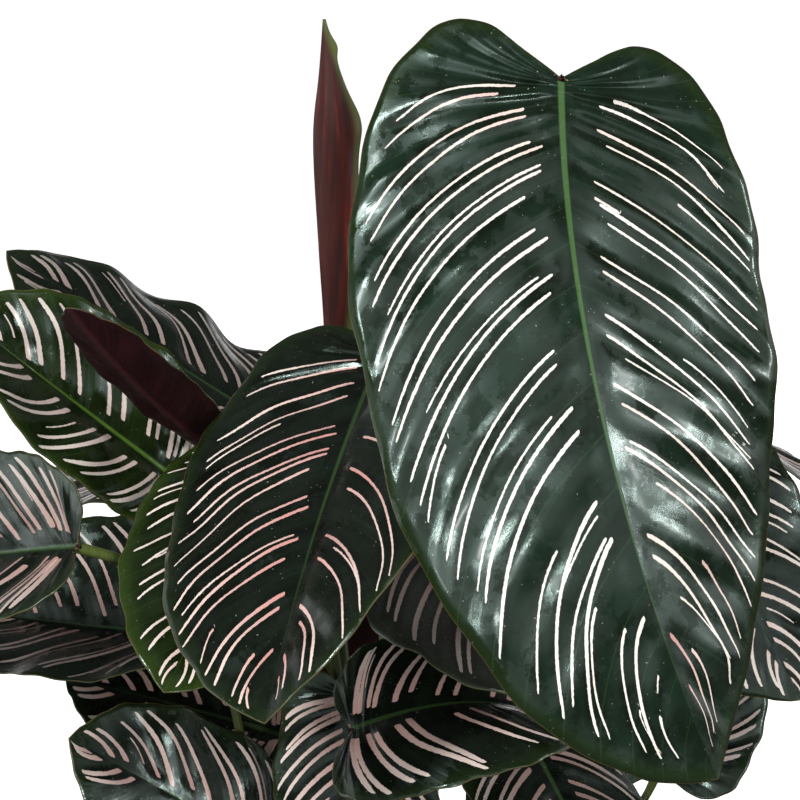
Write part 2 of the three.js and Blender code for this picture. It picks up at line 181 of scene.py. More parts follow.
# Each leaf: base is the notch of its blade; heading, pitch, roll set the blade there, in degrees; droop,
# sweep, twist turn it from there to the tip; fold and curl are for the left and right halves, seen from
# the stalk; wave is height, count and phase along the margin; soil is where its stalk stands; arrive is
# the angle between stalk and blade; reach and lean shape the stalk's curve; lobe lengthens the two lobes;
# the key after lobe is how far the pinstripes' paint is dimmed towards the green, painted shade on the
# leaves that lie in shade; stripe is their width and how pink they are.
usual = {
    "droop": 22, "sweep": 0, "roll": 0, "twist": 0, "fold": (8, 8), "curl": (20, 22), "wave": (2, 3, 0),
    "arrive": 60, "reach": 35, "lean": 0.1, "age": "mature", "rows": 260, "lobe": (0, 0), "stripeShadeOrGone": 0.2,
    "stripe": (2.1, 0.6),
}

leaves = {
    "front": {
        "base": (52, -117, 551), "heading": -93, "pitch": -58, "droop": 37, "sweep": 37, "roll": -8,
        "twist": -20, "length": 242, "width": 146, "fold": (-19, 0), "curl": (-6, 21),
        "wave": (2.5, 2.5, 0.6), "soil": (30, 8), "arrive": 70, "reach": 80, "lean": -0.31, "rows": 560,
        "age": "fullSheen", "lobe": (0.5, 2.6), "stripeShadeOrGone": 0,
    },
    "second": {
        "base": (-6, -64, 451), "heading": -111, "pitch": -33, "droop": 6, "sweep": 7, "roll": 15,
        "twist": 1, "length": 162, "width": 111, "fold": (20, 16), "curl": (26, 11), "wave": (1.5, 3, 0),
        "soil": (0, 27), "arrive": 15, "reach": 71, "lean": -0.12, "rows": 380, "stripeShadeOrGone": 0,
    },
    "third": {
        "base": (-38, -55, 412), "heading": -108, "pitch": -20, "droop": 18, "sweep": -1, "roll": -15,
        "twist": -9, "length": 119, "width": 78, "fold": (8, 9), "curl": (24, 26), "wave": (1.5, 3, 1),
        "soil": (-6, -27), "arrive": 50, "reach": 58, "lean": 0.09, "stripeShadeOrGone": 0,
        "stripe": (1.3, 0.45), "age": "young",
    },
    "left_bright": {
        "base": (-81, -20, 393), "heading": -159, "pitch": 40, "droop": -5, "sweep": 3, "roll": -45,
        "twist": -4, "length": 110, "width": 73, "fold": (14, 34), "curl": (8, 12), "wave": (1.5, 3, 0.5),
        "soil": (-2, 15), "arrive": 15, "reach": 32, "lean": -0.5, "age": "young", "stripe": (1.9, 0.35),
    },
    "left_far": {
        "base": (-30, 60, 384), "heading": 180, "pitch": 32, "droop": 2, "sweep": -8, "roll": -27,
        "twist": 4, "length": 151, "width": 92, "fold": (6, 1), "curl": (20, 17), "wave": (4, 3.5, 1.2),
        "soil": (-12, 26), "arrive": 55, "reach": 38, "lean": 0.09, "stripeShadeOrGone": 0.55,
        "stripe": (2, 0.4),
    },
    "left_glossy": {
        "base": (-112, -84, 386), "heading": -218, "pitch": -12, "droop": 8, "sweep": 3, "roll": -62,
        "length": 104, "width": 75, "fold": (36, 36), "curl": (18, 9), "wave": (1, 3, 0),
        "soil": (-54, 34), "arrive": 65, "reach": 130, "lean": -0.1, "stripeShadeOrGone": 0.45,
    },
    "left_dark": {
        "base": (-70, -10, 331), "heading": -206, "pitch": -5, "droop": 0, "sweep": -7, "roll": -31,
        "twist": -8, "length": 124, "width": 92, "fold": (34, 29), "curl": (18, 5),
        "soil": (-46, 3), "arrive": 61, "reach": 11, "lean": 0.22, "stripeShadeOrGone": 0.45,
    },
    "left_underside": {
        "base": (-71, -30, 410), "heading": -129, "pitch": 35, "droop": -11, "sweep": 5, "roll": 13,
        "twist": -1, "length": 92, "width": 42, "fold": (20, 17), "curl": (23, -7), "wave": (0.8, 3, 0),
        "soil": (-30, 48), "arrive": 45, "reach": 120, "lean": -0.45,
    },
    "low_left_upper": {
        "base": (-46, 20, 281), "heading": -188, "pitch": 15, "droop": 13, "sweep": -3, "roll": -39,
        "length": 92, "width": 56, "fold": (6, 6), "curl": (20, 20), "wave": (1.5, 3, 0),
        "soil": (-18, 11), "lean": 0.13,
    },
    "low_left_lower": {
        "base": (-38, -20, 240), "heading": -149, "pitch": 39, "droop": 3, "sweep": 3, "roll": -60,
        "twist": -4, "length": 117, "width": 75, "fold": (5, 6), "curl": (22, 19), "wave": (1.5, 3, 0),
        "soil": (-17, -15), "arrive": 61, "reach": 39, "lean": 0.05, "stripeShadeOrGone": 0.35,
    },
    "low_centre": {
        "base": (-17, -104, 326), "heading": -25, "pitch": 29, "droop": 100, "sweep": 29, "roll": 50,
        "twist": -31, "length": 89, "width": 77, "fold": (6, 19), "curl": (24, 33), "wave": (1, 3, 0),
        "soil": (-10, -52), "arrive": 72, "reach": 34, "lean": 0.14,
    },
    "low_hanging": {
        "base": (-18, -32, 316), "heading": -88, "pitch": -72, "droop": 14, "sweep": 1, "roll": 19,
        "twist": 2, "length": 110, "width": 66, "fold": (6, 5), "curl": (20, 21), "wave": (1.5, 3, 0),
        "soil": (-5, -12), "arrive": 57, "reach": 37, "lean": 0.09,
    },
    "shaded": {
        "base": (3, -22, 388), "heading": -64, "pitch": -15, "droop": 15, "sweep": 6, "roll": 9,
        "twist": -2, "length": 125, "width": 87, "fold": (6, 5), "curl": (20, 25),
        "soil": (6, -9), "arrive": 53, "reach": 37, "lean": 0.09, "stripeShadeOrGone": 0.6, "age": "shade",
    },
    "under_front": {
        "base": (45, -20, 300), "heading": -55, "pitch": -38, "droop": 20,
        "length": 120, "width": 74, "fold": (6, 6), "curl": (20, 20),
        "soil": (20, -10), "arrive": 64, "reach": 39, "lean": 0.06, "stripeShadeOrGone": 0.55,
    },
    "right_far": {
        "base": (106, 60, 252), "heading": 81, "pitch": 57, "droop": 20, "roll": 11,
        "length": 142, "width": 92, "fold": (6, 6), "curl": (20, 20), "soil": (48, 26), "stripeShadeOrGone": 0.5,
    },
    "right": {
        "base": (82, -20, 426), "heading": -38, "pitch": -50, "sweep": 3, "roll": 39,
        "length": 130, "width": 80, "fold": (6, 6), "curl": (20, 20), "wave": (1.5, 3, 0),
        "soil": (35, -7), "arrive": 62, "reach": 36, "lean": 0.06, "stripeShadeOrGone": 0,
        "stripe": (1.5, 0.35),
    },
    "back_tall": {
        "base": (58, 60, 492), "heading": 82, "pitch": -8, "droop": 62, "roll": 4,
        "length": 168, "width": 104, "curl": (18, 22), "wave": (3, 3, 0),
        "soil": (27, 25), "arrive": 61, "lean": 0.12, "rows": 320,
    },
    "back_right": {
        "base": (92, 45, 398), "heading": 28, "pitch": 2, "droop": 52, "roll": 6,
        "length": 134, "width": 82, "fold": (10, 8), "curl": (20, 24), "wave": (2, 3, 0.8),
        "soil": (41, 16), "arrive": 54, "reach": 34,
    },
    "back_left": {
        "base": (-62, 82, 368), "heading": 150, "pitch": 6, "droop": 34, "roll": -8,
        "length": 126, "width": 78, "curl": (22, 20), "wave": (2, 3, 0.4),
        "soil": (-29, 35), "arrive": 61, "reach": 37, "lean": 0.07,
    },
    "back_middle": {
        "base": (-12, 98, 352), "heading": 104, "pitch": -34, "droop": 36,
        "length": 132, "width": 82, "fold": (8, 10), "wave": (2, 3, 2),
        "soil": (-6, 42), "arrive": 59, "reach": 37,
    },
    "back_low": {
        "base": (28, 100, 318), "heading": 74, "pitch": -28, "droop": 36, "roll": 6,
        "length": 118, "width": 74, "curl": (22, 22), "soil": (9, 46), "arrive": 59, "reach": 36,
    },
    "low_right": {
        "base": (100, -20, 232), "heading": -14, "pitch": 12, "droop": 52, "roll": 4,
        "length": 120, "width": 76, "curl": (22, 22), "soil": (47, -6),
        "arrive": 58, "reach": 34, "lean": 0.11,
    },
    "low_front": {
        "base": (28, -104, 236), "heading": -72, "pitch": 8, "droop": 56,
        "length": 108, "width": 68, "curl": (22, 22), "wave": (2, 3, 1),
        "soil": (12, -42), "arrive": 64, "lean": 0.14,
    },
    "low_left": {
        "base": (-92, 20, 232), "heading": 172, "pitch": 10, "droop": 50,
        "length": 110, "width": 70, "curl": (22, 22), "wave": (2, 3, 1.5),
        "soil": (-36, 10), "arrive": 61, "reach": 34, "lean": 0.09,
    },
    "low_back": {
        "base": (-20, 112, 226), "heading": 100, "pitch": 8, "droop": 50,
        "length": 104, "width": 66, "curl": (22, 22), "wave": (2, 3, 0.7),
        "soil": (-14, 51), "reach": 38, "lean": 0.13,
    },
}
leaves = {name: {**usual, **leaf} for name, leaf in leaves.items()}


def smoothRows(rows, t):  # a uniform Catmull-Rom curve through rows of numbers
    rows = np.asarray(rows, float)
    spans = len(rows) - 1
    i = np.clip((t * spans).astype(int), 0, spans - 1)
    s = (t * spans - i)[:, None]
    before, start = rows[np.maximum(i - 1, 0)], rows[i]
    end, after = rows[i + 1], rows[np.minimum(i + 2, spans)]
    leave, enter = (end - before) / 2, (after - start) / 2
    cubic = 2 * start - 2 * end + leave + enter
    square = 3 * end - 3 * start - 2 * leave - enter
    return ((cubic * s + square) * s + leave) * s + start


def midribOf(leaf):  # points, ahead, left and up along the midrib, one row for each step
    heading, pitch, roll = (math.radians(leaf[key]) for key in ("heading", "pitch", "roll"))
    flat = math.cos(pitch)
    ahead = Vector((flat * math.cos(heading), flat * math.sin(heading), math.sin(pitch)))
    left = Vector((-math.sin(heading), math.cos(heading), 0))
    up = ahead.cross(left)
    left.rotate(Quaternion(ahead, roll))
    up.rotate(Quaternion(ahead, roll))
    point = Vector(leaf["base"])
    rows = [[point.copy(), ahead.copy(), left.copy(), up.copy()]]
    droop, sweep, twist = (math.radians(leaf[key]) / blade["steps"] for key in ("droop", "sweep", "twist"))
    for _ in range(blade["steps"]):
        down = Quaternion(left, droop)
        ahead.rotate(down)
        up.rotate(down)
        aside = Quaternion(up, sweep)
        ahead.rotate(aside)
        left.rotate(aside)
        over = Quaternion(ahead, twist)
        left.rotate(over)
        up.rotate(over)
        point = point + ahead * (leaf["length"] / blade["steps"])
        rows.append([point.copy(), ahead.copy(), left.copy(), up.copy()])
    return np.array(rows)


def flatVein(leaf, share, vein):  # across and along the flat blade, at a share of one side vein
    across, rise, leave = smoothRows(outline, vein).T
    halfWidth, length = leaf["width"] / 2, leaf["length"]
    edgeX, edgeY, start = across * halfWidth, rise * length, leave * length
    bendX, bendY = blade["cupSpread"] * edgeX, start + blade["cupReach"] * (edgeY - start)
    rest = 1 - share
    x = 2 * rest * share * bendX + share * share * edgeX
    y = rest * rest * start + 2 * rest * share * bendY + share * share * edgeY
    return x, y


def bladeSurface(leaf, x, y, side, lift):  # points of the bent blade, lifted along its own normal
    rows = midribOf(leaf)
    t = np.clip(y / leaf["length"], 0, 1) * blade["steps"]
    i = np.minimum(t.astype(int), blade["steps"] - 1)
    s = (t - i)[:, None, None]
    between = rows[i] * (1 - s) + rows[i + 1] * s
    point, ahead, left, up = (between[:, k] for k in range(4))
    point = point + ahead * np.minimum(y, 0)[:, None]
    halfWidth = leaf["width"] / 2
    fold = np.radians(np.where(side > 0, *leaf["fold"]))
    bend = np.radians(np.where(side > 0, *leaf["curl"])) / halfWidth
    slope = fold - bend * x
    out = (np.sin(fold) - np.sin(slope)) / bend
    high, waves, phase = leaf["wave"]
    turn = 2 * math.pi * waves * y / leaf["length"] + phase + np.where(side > 0, 0, blade["wavesApart"])
    height = (np.cos(slope) - np.cos(fold)) / bend + high * (x / halfWidth) ** 2 * np.sin(turn)
    outward = left * side[:, None]
    normal = up * np.cos(slope)[:, None] - outward * np.sin(slope)[:, None]
    return point + outward * out[:, None] + up * height[:, None] + normal * lift[:, None]


# Pinstripes

# Painted on each half in pairs. A stripe is where it starts and ends on the way from midrib to margin,
# the vein it lies on at both ends, its width and how pink it is. The front two leaves have their own.
stripesOfFront = {
    1: [
        (0.25, 0.81, 0.328, 0.394, 1.1, 0.1), (0.17, 0.80, 0.355, 0.424, 1.2, 0.1),
        (0.68, 0.79, 0.410, 0.431, 0.7, 0.1), (0.14, 0.88, 0.426, 0.463, 1.2, 0.3),
        (0.17, 0.92, 0.453, 0.487, 1.1, 0.1), (0.48, 0.91, 0.486, 0.500, 0.9, 0.0),
        (0.11, 0.92, 0.521, 0.541, 1.2, 0.1), (0.10, 0.20, 0.544, 0.545, 1.0, 0.3),
        (0.12, 0.89, 0.548, 0.566, 1.2, 0.0), (0.15, 0.89, 0.563, 0.588, 1.0, 0.0),
        (0.11, 0.85, 0.599, 0.620, 1.1, 0.1), (0.11, 0.84, 0.612, 0.644, 1.1, 0.2),
        (0.09, 0.83, 0.648, 0.678, 1.2, 0.0), (0.44, 0.82, 0.648, 0.664, 0.8, 0.0),
        (0.09, 0.85, 0.662, 0.698, 1.2, 0.1), (0.16, 0.83, 0.673, 0.690, 0.8, 0.1),
        (0.08, 0.91, 0.697, 0.730, 1.3, 0.1), (0.10, 0.90, 0.709, 0.747, 1.2, 0.3),
        (0.11, 0.92, 0.733, 0.763, 1.1, 0.1), (0.08, 0.93, 0.739, 0.781, 1.4, 0.3),
        (0.22, 0.94, 0.755, 0.800, 1.1, 0.4), (0.10, 0.87, 0.796, 0.850, 1.7, 0.2),
        (0.48, 0.88, 0.797, 0.832, 1.3, 0.5), (0.11, 0.84, 0.810, 0.877, 1.8, 0.2),
        (0.28, 0.74, 0.833, 0.860, 0.9, 0.1), (0.08, 0.62, 0.868, 0.938, 2.2, 0.7),
        (0.32, 0.71, 0.872, 0.922, 1.5, 0.4), (0.17, 0.50, 0.906, 0.956, 1.8, 0.5),
    ],
    -1: [
        (0.21, 0.79, 0.310, 0.361, 1.1, 0.3), (0.27, 0.82, 0.341, 0.385, 1.1, 0.5),
        (0.14, 0.87, 0.391, 0.447, 1.2, 0.4), (0.13, 0.84, 0.413, 0.467, 1.1, 0.4),
        (0.11, 0.82, 0.465, 0.502, 1.1, 0.3), (0.07, 0.86, 0.481, 0.516, 1.2, 0.3),
        (0.08, 0.79, 0.508, 0.534, 0.9, 0.2), (0.08, 0.90, 0.516, 0.549, 1.1, 0.2),
        (0.14, 0.92, 0.537, 0.564, 1.1, 0.1), (0.12, 0.89, 0.573, 0.591, 1.1, 0.1),
        (0.08, 0.89, 0.586, 0.602, 1.3, 0.2), (0.13, 0.70, 0.611, 0.617, 0.8, 0.0),
        (0.08, 0.87, 0.616, 0.631, 1.2, 0.1), (0.10, 0.87, 0.628, 0.646, 1.1, 0.0),
        (0.66, 0.87, 0.645, 0.657, 0.9, 0.0), (0.13, 0.87, 0.664, 0.682, 1.1, 0.0),
        (0.13, 0.87, 0.673, 0.695, 1.1, 0.0), (0.20, 0.82, 0.698, 0.712, 0.8, 0.0),
        (0.11, 0.82, 0.704, 0.720, 1.4, 0.1), (0.11, 0.92, 0.719, 0.740, 1.5, 0.0),
        (0.39, 0.89, 0.758, 0.777, 1.0, 0.0), (0.12, 0.90, 0.763, 0.800, 1.6, 0.0),
        (0.14, 0.46, 0.770, 0.774, 0.8, 0.0), (0.14, 0.82, 0.785, 0.806, 1.2, 0.0),
        (0.11, 0.87, 0.789, 0.832, 1.8, 0.0), (0.36, 0.85, 0.804, 0.844, 1.2, 0.0),
        (0.26, 0.80, 0.835, 0.882, 1.4, 0.0), (0.10, 0.80, 0.846, 0.900, 1.9, 0.1),
        (0.55, 0.75, 0.869, 0.900, 0.8, 0.0), (0.22, 0.33, 0.880, 0.884, 0.9, 0.0),
        (0.46, 0.72, 0.893, 0.925, 1.6, 0.0),
    ],
}
stripesOfSecond = {
    1: [
        (0.12, 0.84, 0.330, 0.385, 1.2, 0.6), (0.14, 0.86, 0.362, 0.412, 1.3, 0.6),
        (0.13, 0.88, 0.440, 0.480, 1.2, 0.6), (0.12, 0.88, 0.466, 0.505, 1.3, 0.7),
        (0.10, 0.90, 0.540, 0.575, 1.2, 0.6), (0.13, 0.90, 0.566, 0.600, 1.2, 0.6),
        (0.12, 0.94, 0.617, 0.668, 1.2, 0.6), (0.15, 0.95, 0.669, 0.746, 1.3, 0.8),
        (0.17, 0.95, 0.694, 0.765, 1.2, 0.6), (0.12, 0.94, 0.754, 0.792, 1.3, 0.7),
        (0.28, 0.87, 0.766, 0.786, 0.8, 0.5), (0.17, 0.95, 0.784, 0.825, 1.2, 0.7),
        (0.11, 0.91, 0.841, 0.880, 1.6, 0.6), (0.18, 0.87, 0.858, 0.896, 1.3, 0.7),
        (0.12, 0.62, 0.903, 0.930, 1.8, 0.8), (0.20, 0.55, 0.930, 0.950, 1.4, 0.7),
    ],
    -1: [
        (0.12, 0.78, 0.372, 0.384, 1.1, 0.5), (0.10, 0.82, 0.408, 0.417, 1.2, 0.6),
        (0.07, 0.83, 0.488, 0.510, 1.2, 0.6), (0.08, 0.83, 0.522, 0.550, 1.2, 0.6),
        (0.39, 0.82, 0.548, 0.562, 0.9, 0.4), (0.08, 0.83, 0.591, 0.594, 1.1, 0.7),
        (0.06, 0.89, 0.607, 0.614, 1.1, 0.8), (0.07, 0.84, 0.631, 0.632, 1.1, 0.8),
        (0.07, 0.92, 0.639, 0.652, 1.2, 0.7), (0.14, 0.93, 0.655, 0.686, 1.1, 0.6),
        (0.10, 0.88, 0.699, 0.720, 1.2, 0.7), (0.08, 0.94, 0.714, 0.743, 1.3, 0.8),
        (0.12, 0.90, 0.747, 0.757, 0.9, 0.6), (0.09, 0.96, 0.754, 0.773, 1.4, 0.8),
        (0.15, 0.97, 0.773, 0.790, 1.2, 0.8), (0.71, 0.93, 0.808, 0.825, 0.9, 0.6),
        (0.10, 0.94, 0.822, 0.844, 1.7, 0.8), (0.13, 0.93, 0.837, 0.867, 1.6, 0.7),
        (0.40, 0.89, 0.878, 0.900, 1.2, 0.7), (0.14, 0.90, 0.891, 0.919, 1.5, 0.8),
        (0.63, 0.86, 0.915, 0.939, 1.6, 0.7),
    ],
}
pinstripes = {
    "first": 0.34,  # the vein of the first pair
    "last": 0.93,
    "pitch": 9.5,  # pair to pair, mm
    "pair": 3.2,  # apart within a pair, mm
    "start": 0.11,
    "end": 0.86,
    "bow": 3,  # how far the outer end drops towards the tip, mm
    "shortFrom": 0.86,  # veins past this one have shorter and shorter stripes
    "shortening": 2.2,
    "thirdLine": {"chance": 0.25, "after": 1.9, "length": 0.35, "width": 0.8},  # beside some pairs
    "bend": 1.5,  # above 1, a stripe bends most near its outer end
    "claim": (-0.2, 1.15),  # the stretch in which a stripe is looked for, shares of its length
    "far": 9,  # mm, where a vertex has no stripe
}


def drawnStripes(leafName, leaf):  # pairs laid down by the rule that the front leaves follow, each a bit off
    chance = random.Random(leafName)
    length = leaf["length"]
    usualWidth, pink = leaf["stripe"]
    third = pinstripes["thirdLine"]
    made = {1: [], -1: []}
    for side in made:
        vein = pinstripes["first"] + chance.uniform(-0.02, 0.04)
        while vein < pinstripes["last"]:
            for step in (0, pinstripes["pair"] / length * chance.uniform(0.85, 1.2)):
                start = pinstripes["start"] + chance.uniform(-0.04, 0.05)
                end = pinstripes["end"] + chance.uniform(-0.08, 0.06)
                end = end - pinstripes["shortening"] * max(0, vein - pinstripes["shortFrom"])
                drop = pinstripes["bow"] / length * chance.uniform(0.6, 1.4)
                width = usualWidth * chance.uniform(0.8, 1.2) * (1 + 0.4 * ease(vein, 0.75, 0.95))
                made[side].append((start, end, vein + step, vein + step + drop, width, pink))
            if chance.random() < third["chance"]:
                start = chance.uniform(0.2, 0.5)
                end = start + third["length"]
                extra = vein + third["after"] * pinstripes["pair"] / length
                made[side].append((start, end, extra, extra + 0.01, third["width"], pink))
            vein += pinstripes["pitch"] / length * chance.uniform(0.88, 1.15)
    return made


def stripeFields(leaf, stripes, share, vein, side):  # every third stripe, so that neighbours never meet
    fields = []
    for turn in range(3):
        dealt = {half: sorted(stripes[half], key=lambda stripe: stripe[2])[turn::3] for half in stripes}
        fields.append(stripeField(leaf, dealt, share, vein, side))
    return fields


def stripeField(leaf, stripes, share, vein, side):  # the nearest stripe at each vertex
    apart = 0.002
    first, last = pinstripes["claim"]
    x, y = flatVein(leaf, share, vein)
    nextX, nextY = flatVein(leaf, share, np.clip(vein + apart, 0, 1 + apart))
    outX, outY = flatVein(leaf, share + apart, vein)
    alongX, alongY = outX - x, outY - y
    crossed = np.abs((nextX - x) * alongY - (nextY - y) * alongX)
    scale = crossed / (np.hypot(alongX, alongY) * apart + 1e-9)  # mm across the veins for one vein number
    nothing = [pinstripes["far"], pinstripes["far"], 0.0, 0.0, 1.0, 1.0]
    field = np.tile(nothing, (len(share), 1))
    for half in stripes:
        mine = side == half
        for start, end, veinIn, veinOut, width, blush in stripes[half]:
            t = (share - start) / (end - start)
            line = veinIn + (veinOut - veinIn) * np.clip(t, 0, 1) ** pinstripes["bend"]
            across = (vein - line) * scale
            closer = mine & (t > first) & (t < last) & (np.abs(across) < field[:, 1])
            field[closer, 0] = across[closer]
            field[closer, 1] = np.abs(across[closer])
            field[closer, 2:] = (blush, start, end, width)
    return field


def raggedMargin(leaf, phases, x, y, share, vein, side):  # an uneven margin, and the two lobes' own length
    slow, fast = blade["frillWaves"]
    frill = np.sin(slow * vein + phases[0] + side) + 0.6 * np.sin(fast * vein + phases[1] - side)
    middle = ease(vein, 0.05, 0.2) * (1 - ease(vein, 0.85, 0.98))
    lobe = np.exp(-((vein - blade["lobeAt"]) / blade["lobeSpread"]) ** 2)
    x = x + blade["frill"] * frill * middle * share ** 3
    y = y - np.where(side > 0, *leaf["lobe"]) * lobe * share ** 2
    return x, y


def reliefOf(leaf, phases, x, y, vein, fromRim, side):  # soft bands, slow dents and the midrib's groove
    fade = ease(x, 1, 9) * ease(fromRim, 0, 12)
    bandTurn = 2 * math.pi * vein * leaf["length"] / pinstripes["pitch"]
    bands = np.sin(bandTurn * 0.5 + phases[0] + side) + 0.5 * np.sin(bandTurn * 1.1 + phases[1] - side)
    dents = np.sin(x / 9 + y / 17 + phases[2]) * np.sin(y / 11 - x / 23 * side + phases[3])
    dents = dents + 0.6 * np.sin(x / 5.5 - y / 7 + phases[4]) * np.sin(y / 6.1 + phases[5] * side)
    lift = fade * (blade["quilting"] * bands * ease(vein, 0.1, 0.3) + blade["ripple"] * dents)
    return lift - blade["groove"] * np.exp(-(x / blade["grooveWidth"]) ** 2) * (1 - vein)


def thicken(piece, x, vein, upperSide):  # a thin skin, with the midrib standing out below
    whole = blade["thickness"] + blade["rib"]
    ribs = piece.vertex_groups.new(name="rib")
    for i, distance in enumerate(x):
        ribHere = blade["rib"] * math.exp(-(distance / blade["ribWidth"]) ** 2) * (1 - vein[i])
        ribs.add([i], (blade["thickness"] + ribHere) / whole, "REPLACE")
    bpy.ops.object.mode_set(mode="EDIT")  # the rows at notch and tip close to points
    bpy.ops.mesh.select_all(action="SELECT")
    bpy.ops.mesh.remove_doubles(threshold=blade["merge"] * mm)
    bpy.ops.object.mode_set(mode="OBJECT")
    for material in (upperSide, underside, margin):
        piece.data.materials.append(material)
    skin = piece.modifiers.new("skin", "SOLIDIFY")
    skin.thickness = whole * mm
    skin.offset = -1
    skin.vertex_group = "rib"
    skin.material_offset = 1
    skin.material_offset_rim = 2
    applyAll(piece)


def makeBlade(name, leaf):
    deselectAll()
    bpy.ops.mesh.primitive_grid_add(x_subdivisions=blade["columns"], y_subdivisions=leaf["rows"], size=1)
    piece = bpy.context.object
    mesh = piece.data
    places = np.empty(3 * len(mesh.vertices))
    mesh.vertices.foreach_get("co", places)
    gridX, gridY = places[0::3] * 2, places[1::3] + 0.5
    side = np.where(gridX <= 0, 1, -1)
    share, vein = np.abs(gridX) ** blade["crowding"], np.clip(gridY, 0, 1)
    flatX, flatY = flatVein(leaf, share, vein)
    edgeX, edgeY = flatVein(leaf, np.ones_like(vein), vein)
    fromRim = np.hypot(edgeX - flatX, edgeY - flatY)
    chance = random.Random("relief " + name)
    phases = [chance.uniform(0, 2 * math.pi) for _ in range(6)]
    x, y = raggedMargin(leaf, phases, flatX, flatY, share, vein, side)
    lift = reliefOf(leaf, phases, x, y, vein, fromRim, side)
    points = bladeSurface(leaf, x, y, side, lift)
    mesh.vertices.foreach_set("co", (points * mm).ravel())

    stripes = {"front": stripesOfFront, "second": stripesOfSecond}.get(name) or drawnStripes(name, leaf)
    for turn, field in zip("ABC", stripeFields(leaf, stripes, share, vein, side)):
        setAttribute(mesh, "line" + turn, field[:, :3])
        setAttribute(mesh, "span" + turn, field[:, 3:])
    setAttribute(mesh, "share", share)
    setAttribute(mesh, "fromRib", x)
    setAttribute(mesh, "fromRim", fromRim)
    setAttribute(mesh, "along", np.clip(y / leaf["length"], 0, 1))
    # how far the stripes are dimmed towards the green: painted shade on a leaf lying in shade
    setAttribute(mesh, "stripeShadeOrGone", np.full_like(x, leaf["stripeShadeOrGone"]))
    thicken(piece, x, vein, leafMaterials[leaf["age"]])
    bpy.ops.object.shade_smooth()
    finish(piece, "leafBlade_" + name, "leaf", "blade_" + name)


# Leaf materials

# The first four are the looks of a leaf: fully grown in good light, grown, young, and in the shade. The
# fully grown look's teal body is partly painted sheen, the cool lights mirrored on the front leaf, and the
# shade look's light greys are a painted dull sheen on the shaded leaf.
leafLooks = {
    "fullSheen": {"deep": "#0e160b", "body": "#1a2d21", "rimTone": "#1e2c10", "rib": "#456338"},
    "mature": {"deep": "#0b0f09", "body": "#151e14", "rimTone": "#1a2610", "rib": "#2c4122"},
    "young": {"deep": "#131d0a", "body": "#223014", "rimTone": "#2c3e15", "rib": "#4c6a26"},
    "shade": {"deep": "#2c2e2a", "body": "#42453f", "rimTone": "#272d22", "rib": "#3c4636"},
    "stripe": "#fbf7ec",
    "stripePink": "#d39a92",
    "fleck": "#9a7b4c",
    "speck": "#b9bbab",
    "margin": "#6a5c36",
    "sheen": "#e2fff6",
    # share of the stripe's length, share of its width
    "stripeProfile": [(0, 0.12), (0.015, 0.42), (0.1, 0.46), (0.3, 0.4), (0.92, 0.36), (1, 0.1)],
    "mixed": 1.5,  # mm; where a vertex's two distances differ more, two stripes are mixed there
    "roughness": (0.13, 0.36),
    "veins": 30,  # side veins on each half
    "cell": 0.35,  # the grain of the cuticle, mm
}


def stripeMask(tree, turn, share, wobble):  # 1 on a stripe: full at its start, thinning to a torn end
    reads = [
        addNode(tree, "ShaderNodeAttribute", {"attribute_name": key + turn}).outputs["Vector"]
        for key in ("line", "span")
    ]
    line, span = (addNode(tree, "ShaderNodeSeparateXYZ", inputs={0: read}).outputs for read in reads)
    done = addNode(tree, "ShaderNodeMapRange", {"clamp": False}, {
        "Value": share, "From Min": span["X"], "From Max": span["Y"]})
    profile = addNode(tree, "ShaderNodeFloatCurve", inputs={"Value": done.outputs[0]})
    points = profile.mapping.curves[0].points
    first, *knots, last = leafLooks["stripeProfile"]
    for knot in knots:
        points.new(*knot)
    points[0].location, points[-1].location = first, last
    profile.mapping.update()
    halfWidth = addNode(tree, "ShaderNodeMath", {"operation": "MULTIPLY"}, {
        0: profile.outputs[0], 1: span["Z"]})
    away = addNode(tree, "ShaderNodeMath", {"operation": "ABSOLUTE"}, {0: line["X"]})
    worn = addNode(tree, "ShaderNodeMath", {"operation": "ADD"}, {0: away.outputs[0], 1: wobble})
    edge = addNode(tree, "ShaderNodeMath", {"operation": "SUBTRACT"}, {
        0: worn.outputs[0], 1: halfWidth.outputs[0]})
    painting = addNode(tree, "ShaderNodeMapRange", {"interpolation_type": "SMOOTHSTEP"}, {
        "Value": edge.outputs[0], "From Min": 0.1, "From Max": -0.12, "To Min": 0, "To Max": 1})
    between = addNode(tree, "ShaderNodeMath", {"operation": "SUBTRACT"}, {0: line["Y"], 1: away.outputs[0]})
    near = addNode(tree, "ShaderNodeMath", {"operation": "LESS_THAN"}, {
        0: between.outputs[0], 1: leafLooks["mixed"]})
    onWay = addNode(tree, "ShaderNodeMath", {"operation": "COMPARE"}, {0: done.outputs[0], 1: 0.5, 2: 0.5})
    inside = addNode(tree, "ShaderNodeMath", {"operation": "MULTIPLY"}, {
        0: near.outputs[0], 1: onWay.outputs[0]})
    mask = addNode(tree, "ShaderNodeMath", {"operation": "MULTIPLY"}, {
        0: painting.outputs[0], 1: inside.outputs[0]})
    paling = addNode(tree, "ShaderNodeMapRange", inputs={
        "Value": done.outputs[0], "To Min": 1.35, "To Max": 0.5})
    blush = addNode(tree, "ShaderNodeMath", {"operation": "MULTIPLY", "use_clamp": True}, {
        0: line["Z"], 1: paling.outputs[0]})
    return mask.outputs[0], line["Y"], blush.outputs[0]
